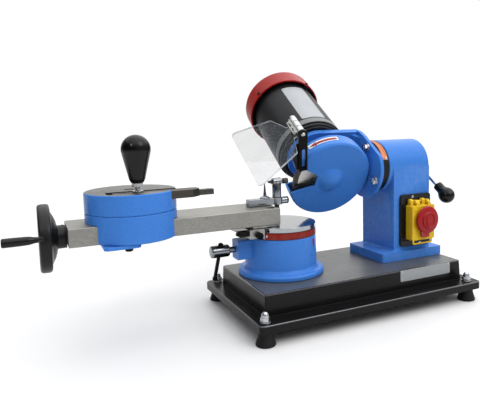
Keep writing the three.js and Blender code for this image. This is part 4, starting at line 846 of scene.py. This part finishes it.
solid('button_start', [lathe([(0, 68.3), (5.0, 68.3), (5.8, 68.9), (7.4, 68.5, 0.4), (8.0, 69.4, 0.5), (8.0, 71.0), (0, 71.0)], 'y', 321.4, 130.4, 40)], green_plastic, 'start', node='start_button')
solid('button_stop', [lathe([(0, 69.5), (5.0, 69.5), (5.8, 70.1), (7.4, 69.7, 0.4), (8.0, 70.6, 0.5), (8.0, 72.2), (0, 72.2)], 'y', 338.6, 130.4, 40)], red_plastic, 'stop', node='stop_button')
lid = [box(307.2, 356.0, 62.2, 65.7, 96.8, 154.8, 2.2, 'y')]
solid('lid_plate', lid, yellow, 'lid', node='switch_lid', cut=[rod('y', 5.3, 55, 70, 335.6, 130.4, 32)], bevel=0.8, seg=3, limit=40)
arms = []
for x0, x1 in ((318.2, 325.8), (342.8, 348.4)):
    arms.append(prism([(63.6, 151), (65.7, 151), (66.0, 157, 1), (75.2, 158.4, 1.5), (75.2, 163.6, 1.5), (68, 163.6, 2), (63.6, 159.5, 2)], x0, x1, 'x'))
solid('lid_arms', arms + [rod('x', 1.9, 309.4, 351.4, 73.5, 161, 24)], yellow, 'lid', bevel=0.4, seg=2, limit=40)
loop = box(309.3, 351.4, 62.4, 65.0, 89.4, 100.0, 3.0, 'y')
solid('lid_loop', [loop], yellow, 'lid', cut=[box(311.9, 348.8, 60, 70, 91.6, 96.2, 1.8, 'y')], bevel=0.7, seg=3, limit=40)
side_rib = [box(307.6, 309.8, 61.6, 64.0, 100, 151, 0.8, 'y')]
solid('lid_ribs', side_rib, yellow, 'lid', bevel=0.4, seg=2)
cap = lathe([(0, 52.6), (10.5, 52.6, 0.6), (11.6, 51.5, 0.5), (12.8, 51.5, 0.5), (14.0, 53.6, 1.0), (19.6, 54.1, 1.0), (22.2, 55.0, 1.2), (23.4, 56.8, 1.0), (23.4, 57.8, 0.6), (22.0, 58.8), (5, 58.8), (5, 65.9), (0, 65.9)], 'y', 335.6, 130.4, 96)
tab = prism([(322.8, 101.9, 1.4), (337.9, 101.9, 1.4), (339.4, 112.4), (321.8, 114.2)], 55.4, 58.6, 'y')
solid('mushroom', [cap, tab], red_plastic, 'mushroom', node='stop_mushroom', angle=45)
solid('mushroom_shield', [prism([(331.1, 121.5, 2.5), (340.1, 121.5, 2.5), (341.8, 135.5, 3), (335.6, 138.2, 3), (329.4, 135.5, 3)], 51.5, 53.0, 'y')], red_plastic, 'mushroom', bevel=0.5, seg=3, limit=40)

# ---------------------------------------------------------------------- head
disc_arc = [(48.8 * math.cos(rad(a)), 48.8 * math.sin(rad(a))) for a in np.linspace(92, 268, 48)]
plate_o = disc_arc + [(68.2, -48.8), (72.7, 48.8), (1, 48.8)]
flange_o = [(19.18 + 50.4 * math.cos(rad(a)), 6.1 + 50.4 * math.sin(rad(a))) for a in np.linspace(122, 270, 48)] + [(73.4, -44.3, 3), (77.4, -40.3, 3), (77.4, 47.5, 2), (70, 51.5, 8), (60, 54.4, 8), (45, 54.4, 8)]
h2d = (HD.inverted() @ HB)
flange = moved(prism(flange_o, 73.3, 79.8, 'x'), h2d)
flange_bore = moved(rod('x', 9.4, 65, 90, 19.18, 8.4, 32), h2d)
solid('bracket_plate', [prism(plate_o, 67.8, 77.4, 'y')], blue, 'head', HD, node='head_bracket', join=[flange, prism([(56, 68.8), (71, 55.8), (71, 68.8)], -44, 44, 'z')],
      cut=[rod('y', 16, 60, 80, 0, 0, 48), flange_bore], bevel=1.3, seg=3, limit=40, angle=40)
mouth = [(-26.7, -10.4, 2), (-24.6, 9.9, 2), (-48.1, 23), (-90, 46), (-90, -28.2)]
back = lathe([(17, 24.6), (69.9, 24.6, 0.4), (69.9, 27.2, 0.6), (17, 27.2), (17, 24.6)], 'y', 0, 0, 112)
solid('guard_back_plate', [back] + [rod('y', 5, 27, 68.5, 38 * math.cos(rad(a)), 38 * math.sin(rad(a)), 28) for a in (70, 190, 310)], blue, 'head', HD,
      cut=[prism(mouth, 10, 34, 'y')], angle=40)
gd = lathe([(0, -9.0), (5, -8.75), (10, -7.8), (14.4, -6.0), (18.0, -3.4), (20.9, -0.8, 1.0), (23.6, 0.0, 1.2), (67.7, 0, 1.0), (70.3, 2.8, 2.4), (70.3, 24.0, 0.4), (67.7, 24.0, 0.3), (67.7, 3.2, 1), (65.9, 2.6), (26, 2.6), (19, 0.0), (11, -2.7), (0, -3.9)], 'y', 0, 0, 144)
solid('guard', [gd], blue, 'head', HD, node='guard_cover', cut=[prism(mouth, -12, 40, 'y')], bevel=0.55, seg=3, limit=50, angle=42)
# folded lip along the lower edge of the notch
lipa = Vector((-27.4, 0, -10.6))
lipb = Vector((-66.2, 0, -21.5))
dl = (lipb - lipa).normalized()
LM = Matrix.Translation(lipa) @ Matrix.Rotation(-math.atan2(dl.z, dl.x), 4, 'Y')
solid('notch_lip', [moved(box(1.0, (lipb - lipa).length, -1.5, 0.2, -2.2, 0.2, 0.5, 'x'), LM), moved(box(1.0, (lipb - lipa).length - 1, -0.4, 6.5, -0.9, 0.2, 0.2, 'x'), LM)], blue, 'head', HD, bevel=0.35, seg=3)
# black strip in the guard behind the notch's lower edge: painted shade, a dark plate where the guard's inside lies in
# shadow
shade_strip_outline = [(-26.8, -10.2), (-25.6, -1.6, 2), (-58.0, -6.4, 4), (-66.0, -16.6), (-67.0, -24.0), (-60.0, -22.6)]
solid('notch_painted_shade_strip', [prism(shade_strip_outline, 2.9, 3.9, 'y')], blk_plastic, 'head', HD, bevel=0.25, seg=2)
# rotation arrow on the rim: a white strip with a plain red arrow
solid('arrow_strip', [patch(70.28, 11.6, 20.6, 88, 129.5, 0.3, 28, 1.0)], white_ink, 'head', HD)
shaft = patch(70.5, 13.1, 17.9, 90.0, 119, 0.35, 20, 0.1)
hv, hf = [], []
for k in range(9):
    f = k / 8
    t = rad(118.6 + 10.0 * f)
    w = 4.2 * (1 - f) + 0.02
    for r in (70.5, 70.86):
        for q in (-1, 1):
            hv.append((r * math.cos(t), 15.6 - 0.6 * f + q * w, r * math.sin(t)))
for k in range(8):
    a, b = 4 * k, 4 * k + 4
    for p, q in ((0, 1), (1, 3), (3, 2), (2, 0)):
        hf.append((a + p, a + q, b + q, b + p))
hf += [(0, 2, 3, 1), (32, 33, 35, 34)]
solid('arrow', [shaft, (hv, hf)], red_ink, 'head', HD, weighted=False)

# tilt ring, scale and bolts
solid('tilt_joint', [ring_lathe([(24, 80.1), (43.5, 80.1, 0.4), (44.1, 80.8, 0.4), (44.1, 94.6, 0.4), (43.5, 95.3, 0.4), (24, 95.3)], 'x', 19.18, 8.4, 96)], ring_black, 'head', HB, node='tilt_ring')


def arcband(r0, r1, x0, x1, d0, d1, seg):
    verts, faces = [], []
    for k in range(seg + 1):
        t = rad(d0 + (d1 - d0) * k / seg)
        for r, x in ((r0, x0), (r1, x0), (r1, x1), (r0, x1)):
            verts.append((x, 19.18 + r * math.cos(t), 8.4 + r * math.sin(t)))
    for k in range(seg):
        a, b = 4 * k, 4 * k + 4
        for i in range(4):
            j = (i + 1) % 4
            faces.append((a + i, a + j, b + j, b + i))
    faces += [(3, 2, 1, 0), tuple(4 * seg + i for i in range(4))]
    return verts, faces


solid('tilt_band', [arcband(43.9, 44.7, 82.6, 92.8, 20, 132, 60)], copper_scale, 'head', HB, bevel=0.2, seg=2, limit=50)
solid('tilt_band_ticks', [arcband(44.6, 44.8, 89.4 if k % 5 else 87.4, 92.6, 28 + 2.4 * k - 0.2, 28 + 2.4 * k + 0.2, 1) for k in range(40)], dark_ink, 'head', HB, weighted=False)
tr = rad(129)
TR = Matrix.Translation((89.6, 19.18 + 44.6 * math.cos(tr), 8.4 + 44.6 * math.sin(tr))) @ Matrix.Rotation(tr, 4, 'X')
solid('tilt_rivet', [moved(lathe([(0, 1.3), (1.2, 1.05), (2.0, 0.4), (2.1, -0.6), (0, -0.6)], 'y', 0, 0, 24), TR)], zinc, 'head', HB)
for k, (y, z) in enumerate(((25.9, 43.3), (-20.6, 7.2), (42, -19.6))):
    solid('flange_screw_%d' % (k + 1), [hexa('x', 10.8, 65.9, 71.6, y, z, 10 + 40 * k), lathe([(3, 71.5), (7.2, 71.5, 0.2), (7.4, 72.4), (7.4, 73.0), (3, 73.0)], 'x', y, z, 40),
                                      lathe([(0, 65.2), (2.6, 65.3, 0.3), (3.0, 66.0), (3.0, 76), (0, 76)], 'x', y, z, 24)],
          zinc, 'head', HB, node='flange_bolt_%d' % (k + 1), bevel=0.4, seg=2, limit=40)
solid('tilt_pivot', [rod('x', 9, 74, 81.6, 19.18, 8.4, 32), rod('x', 20, 81, 94.5, 19.18, 8.4, 48), rod('x', 12, 93.6, 177.4, 19.18, 8.4, 48), rod('x', 8, 176.8, 196.2, 19.18, 8.4, 32)], steel, 'head', HB, node='tilt_shaft')

# motor
mb = lathe([(8.4, 77.75), (54.2, 77.75), (55.3, 79.6, 1), (57.3, 80.0), (58.7, 81.4, 0.5), (58.7, 86.8), (60.7, 87.2, 0.3), (61.3, 88.2, 0.5), (61.3, 99.2), (60.8, 99.6), (60.8, 100.2), (61.2, 100.6), (61.2, 236.0, 1.5), (59.2, 237.8, 1), (8.4, 237.8), (8.4, 77.75)], 'y', 0, 0, 144)


def motor_pick(c, n):
    p = (HDI @ c)
    if p.y < 83.1:
        return 1
    if 87.0 < p.y < 99.8 and (p.x ** 2 + p.z ** 2) ** 0.5 > 59:
        return 2
    return 0


HDI = HD.inverted()
solid('motor_body', [mb], [motor_black, ring_black, grey_band], 'head', HD, node='motor_shell', pick=motor_pick)
solid('motor_core', [ring_lathe([(31, 110), (55.0, 110), (55.0, 185), (31, 185)], 'y', 0, 0, 64)], copper, 'head', HD, node='motor_stator')
capb = lathe([(66.9, 227.1), (68.9, 227.1, 0.3), (69.5, 227.9, 0.4), (69.5, 263.6, 2.6), (65.7, 267.4, 2.6), (40, 267.6), (0, 267.6), (0, 264.6), (63.4, 264.6), (66.9, 261), (66.9, 227.1)], 'y', 0, 0, 144)
vents = []
for k in range(11):
    x = -45 + 9 * k
    h = math.sqrt(51 ** 2 - x * x)
    vents.append(prism([(x - 1.9, -h, 1.85), (x + 1.9, -h, 1.85), (x + 1.9, -6, 1.85), (x - 1.9, -6, 1.85)], 262, 272, 'y'))
    vents.append(prism([(x - 1.9, 6, 1.85), (x + 1.9, 6, 1.85), (x + 1.9, h, 1.85), (x - 1.9, h, 1.85)], 262, 272, 'y'))
solid('fan_cap', [capb], red_paint, 'head', HD, node='fan_cover', cut=vents, angle=40)
for k, a in enumerate((58, 147, 238, 328)):
    sc = Matrix.Rotation(-rad(a), 4, 'Y')
    part = lathe([(0, 71.4), (1.6, 71.4, 0.3), (2.9, 70.9, 0.6), (3.2, 70.0), (3.2, 69.2), (0, 69.2)], 'x', 234, 0, 28)
    solid('cap_screw_%d' % (k + 1), [moved(part, sc)], oxide, 'head', HD, cut=[moved(box(70.8, 73, 230, 238, -0.45, 0.45), sc)])
    solid('cap_lug_%d' % (k + 1), [moved(box(61.7, 67.3, 229.4, 238.8, -4.4, 4.4), sc)], motor_black, 'head', HD, bevel=0.5, seg=2)
solid('motor_end_shield', [ring_lathe([(16.4, 238.4), (66.5, 238.9, 0.3), (66.5, 241.2, 0.3), (16.4, 241.0)], 'y', 0, 0, 96)], motor_black, 'head', HD)
solid('motor_plate', [patch(61.28, 101.2, 214.4, 70.5, 112, 0.3, 24, 4.0)], plate, 'head', HD)
rt = [rod('y', 6, 6, 18, 0, 0, 28), rod('y', 8, 17, 244, 0, 0, 32), rod('y', 30.2, 112, 183, 0, 0, 48), rod('y', 11, 24.2, 76, 0, 0, 32, 0.6), rod('y', 15.8, 243.2, 256.8, 0, 0, 32, 1.0)]
for k in range(6):
    rt.append(moved(box(14, 55.5, 244.2, 255.8, -1.1, 1.1), Matrix.Rotation(rad(60 * k), 4, 'Y')))
solid('rotor_and_fan', rt, steel, 'rotor', HD, node='motor_rotor')

# dish wheel
dw = lathe([(8.5, 16.6), (25, 16.6, 1.5), (55.4, 5.7, 0.6), (56.4, 5.2, 0.3), (62.0, 5.2, 0.4), (62.5, 5.8, 0.4), (62.5, 11.6, 0.8), (54, 16.8, 2), (26.5, 23.7, 2), (8.5, 23.8), (8.5, 16.6)], 'y', 0, 0, 128)


def wheel_pick(c, n):
    p = (HDI @ c)
    r = (p.x ** 2 + p.z ** 2) ** 0.5
    nl = (HDI.to_3x3() @ n).normalized()
    # front faces of the wheel body inside the rim take the painted reflection
    if nl.y < -0.2 and r < 55.6:
        return 1
    return 0


solid('dish_wheel', [dw], [wheel_grey, painted_reflection_face], 'rotor', HD, node='grinding_wheel', pick=wheel_pick)
solid('arbor_nut', [lathe([(6.4, 13.1), (14.6, 13.1, 0.4), (14.9, 13.6), (14.9, 16.2), (6.4, 16.2), (6.4, 13.1)], 'y', 0, 0, 48), hexa('y', 18.8, 7.6, 13.4, 0, 0)], zinc, 'rotor', HD, node='wheel_nut', bevel=0.5, seg=2, limit=40)

# shield bracket: slotted flat bar with its pivot bolt
bx, bz = Vector((-70.4, 0, 92.1)), Vector((-56.1, 0, 25.0))
dirn = (bz - bx).normalized()
Lb = (bz - bx).length
BR = Matrix.Translation(bx) @ Matrix(((dirn.x, 0, -dirn.z, 0), (0, 1, 0, 0), (dirn.z, 0, dirn.x, 0), (0, 0, 0, 1)))
flat = prism([(-7.1, -6.9, 7.1), (Lb, -6.9, 0.8), (Lb, 7.5, 0.8), (-7.1, 7.5, 7.1)], -4.6, -0.4, 'y', n=12)
slotc = prism([(27.5, -1.7, 2.85), (63.8, -1.7, 2.85), (63.8, 4.1, 2.85), (27.5, 4.1, 2.85)], -8, 4, 'y', n=8)
solid('slotted_bar', [moved(flat, BR)], oxide, 'head', HD, node='shield_bracket', cut=[moved(slotc, BR)], bevel=0.6, seg=3, limit=40, angle=40)
solid('bracket_pivot', [rod('y', 3, -5, 41.8, -70.4, 92.1, 28), lathe([(0, -7.4), (1.4, -7.2), (2.6, -6.6, 0.4), (3.5, -5.6, 0.6), (3.7, -4.9), (3.7, -4.4), (0, -4.4)], 'y', -70.1, 92.1, 32),
                        lathe([(0, 46.2), (2.8, 45.7), (5.0, 44.2), (6.0, 42.0), (5.4, 40.0), (4.0, 39.4), (0, 39.4)], 'y', -70.4, 92.1, 32)], zinc, 'head', HD)
# flat wing of the bracket, behind the bar's left edge
solid('bracket_side', [prism([(-70.5, 74), (-77.0, 72, 2), (-76.6, 45.5, 4), (-70.8, 34.5, 2), (-68.0, 27.0), (-63.2, 24.0), (-58, 28), (-64, 60)], -0.8, 1.2, 'y')], blk_plastic, 'head', HD, bevel=0.5, seg=2)

FL = HD @ Matrix.Translation((-70.4, 0, 92.1)) @ Matrix.Rotation(-0.6, 4, 'Y')
solid('hinge_tube', [ring_lathe([(3.3, 0.1), (5.4, 0.1, 0.3), (6.1, 0.8, 0.4), (6.1, 11.6, 0.3), (5.2, 12.0, 0.2), (5.2, 13.2, 0.2), (6.1, 13.6, 0.3), (6.1, 25.8, 0.3), (5.2, 26.2, 0.2), (5.2, 27.4, 0.2), (6.1, 27.8, 0.3), (6.1, 38.2, 0.5), (5.2, 39, 0.3), (3.3, 39)], 'y', 0, 0, 40)],
      zinc, 'eye_shield', FL, node='shield_hinge')
solid('hinge_leaf', [box(-11.4, -3.6, 2.2, 35.8, 1.9, 4.2, 1.5, 'z')], steel, 'eye_shield', FL, bevel=0.5, seg=2,
      cut=[box(-9.9, -7.3, 9.0, 16.4, -2, 6, 1.2, 'z'), box(-9.9, -7.3, 21.6, 29.0, -2, 6, 1.2, 'z')])
solid('hinge_leaf_screws', [lathe([(0, 5.3), (1.1, 5.2), (1.9, 4.8, 0.4), (2.0, 4.1), (0, 4.1)], 'z', -8.4, y, 24) for y in (5.6, 32.6)], steel, 'eye_shield', FL)
sheet = [(-9, 29.3), (-9, -2.2), (-14.3, -2.2, 1), (-21.1, -34.2, 4), (-85, -55.5, 3), (-90.0, -56.0, 4), (-93.3, -51.1, 3), (-96.5, 83, 4), (-93, 87.4, 4), (-87.6, 87.2, 3), (-29.9, 67.1, 6), (-14.5, 29.3, 2)]
FLN = FL.to_3x3().inverted()


def sheet_pick(c, n):
    # edge faces of the sheet take the painted edge highlight
    return 1 if abs((FLN @ n).normalized().z) < 0.6 else 0


solid('clear_shield', [prism(sheet, -1.6, 1.4, 'z')], [clear, clear_edge_painted_highlight], 'eye_shield', FL, node='shield', bevel=0.4, seg=2, limit=50, pick=sheet_pick)

# ------------------------------------------------------- floor, light, camera
fm = Mat('floor_pale', 0.55)
fm_c = fm.ramp(fm.noise(3, 2), [(0.3, (0.665, 0.665, 0.665)), (0.7, (0.69, 0.69, 0.69))])
floor_mat = fm.out(fm_c, fm.rng(fm.noise(40, 2), 0.5, 0.6))
fme = bpy.data.meshes.new('floor')
fme.from_pydata([(-3, -3, 0), (3, -3, 0), (3, 3, 0), (-3, 3, 0)], [], [(0, 1, 2, 3)])
fme.materials.append(floor_mat)
floor = bpy.data.objects.new('floor', fme)
bpy.context.scene.collection.objects.link(floor)

scene = bpy.context.scene
world = bpy.data.worlds.new('studio')
scene.world = world
world.use_nodes = True
wt = world.node_tree
bg = wt.nodes['Background']
bg.inputs['Strength'].default_value = 1.0
tcw = wt.nodes.new('ShaderNodeTexCoord')
sp = wt.nodes.new('ShaderNodeSeparateXYZ')
wt.links.new(tcw.outputs['Generated'], sp.inputs['Vector'])
hi = wt.nodes.new('ShaderNodeValToRGB')
e = hi.color_ramp.elements
while len(e) < 4:
    e.new(0.5)
for k, (pos, v) in enumerate(((0.0, 0.22), (0.12, 0.30), (0.55, 0.9), (1.0, 2.0))):
    e[k].position = pos
    e[k].color = (v, v, v * 1.02, 1)
wt.links.new(sp.outputs['Z'], hi.inputs['Fac'])
# the wall behind the object is lighter low down
bk = wt.nodes.new('ShaderNodeMapRange')
bk.inputs['From Min'].default_value = 0.35
bk.inputs['From Max'].default_value = 0.85
bk.inputs['To Min'].default_value = 0.0
bk.inputs['To Max'].default_value = 1.0
wt.links.new(sp.outputs['Y'], bk.inputs['Value'])
hb = wt.nodes.new('ShaderNodeMix')
hb.data_type = 'RGBA'
wt.links.new(bk.outputs['Result'], hb.inputs[0])
wt.links.new(hi.outputs['Color'], hb.inputs[6])
hb.inputs[7].default_value = (1.0, 1.0, 0.98, 1)
lf = wt.nodes.new('ShaderNodeMapRange')
lf.inputs['From Min'].default_value = -0.9
lf.inputs['From Max'].default_value = 0.3
lf.inputs['To Min'].default_value = 0.05
lf.inputs['To Max'].default_value = 1.0
wt.links.new(sp.outputs['X'], lf.inputs['Value'])
mu = wt.nodes.new('ShaderNodeVectorMath')
mu.operation = 'SCALE'
wt.links.new(hb.outputs[2], mu.inputs[0])
wt.links.new(lf.outputs['Result'], mu.inputs['Scale'])
lp = wt.nodes.new('ShaderNodeLightPath')
mw = wt.nodes.new('ShaderNodeMix')
mw.data_type = 'RGBA'
wt.links.new(lp.outputs['Is Camera Ray'], mw.inputs[0])
wt.links.new(mu.outputs[0], mw.inputs[6])
mw.inputs[7].default_value = (1, 1, 1, 1)
wt.links.new(mw.outputs[2], bg.inputs['Color'])


def area(name, loc, target, size, power, size_y=None):
    l = bpy.data.lights.new(name, 'AREA')
    l.energy = power
    l.shape = 'RECTANGLE'
    l.size = size
    l.size_y = size_y or size
    ob = bpy.data.objects.new(name, l)
    ob.location = loc
    ob.rotation_euler = (Vector(target) - Vector(loc)).to_track_quat('-Z', 'Y').to_euler()
    bpy.context.scene.collection.objects.link(ob)
    return ob


area('key', (0.9, -1.2, 1.5), (0.1, 0.1, 0.15), 0.9, 9)
area('rim', (-0.9, -0.6, 0.9), (0.0, 0.1, 0.2), 0.25, 1.6)
top = bpy.data.lights.new('top', 'SUN')
top.energy = 2.1
top.angle = math.radians(120)
to = bpy.data.objects.new('top', top)
to.rotation_euler = (Vector((0, 0, 0)) - Vector((0.15, 0.05, 1.0))).to_track_quat('-Z', 'Y').to_euler()
bpy.context.scene.collection.objects.link(to)

Cm = Vector((-0.273739, -0.607041, 0.298862))
yaw, pitch, roll = 0.45002, 0.09672, -0.02133
fw = Vector((math.sin(yaw) * math.cos(pitch), math.cos(yaw) * math.cos(pitch), -math.sin(pitch)))
rt_ = Vector((math.cos(yaw), -math.sin(yaw), 0))
up_ = rt_.cross(fw)
r2 = rt_ * math.cos(roll) + up_ * math.sin(roll)
u2 = -rt_ * math.sin(roll) + up_ * math.cos(roll)
cam = bpy.data.cameras.new('camera')
cam.sensor_width = 36
cam.sensor_fit = 'HORIZONTAL'
cam.lens = 511.361 / 480 * 36
cam.shift_x = -(275.156 - 240) / 480
cam.shift_y = (171.977 - 210) / 480
cam.clip_start = 0.02
cam.clip_end = 50
co = bpy.data.objects.new('camera', cam)
rot = Matrix((r2, u2, -fw)).transposed()
co.matrix_world = Matrix.Translation(Cm) @ rot.to_4x4()
scene.collection.objects.link(co)
scene.camera = co
scene.view_settings.view_transform = 'Standard'
scene.view_settings.look = 'None'
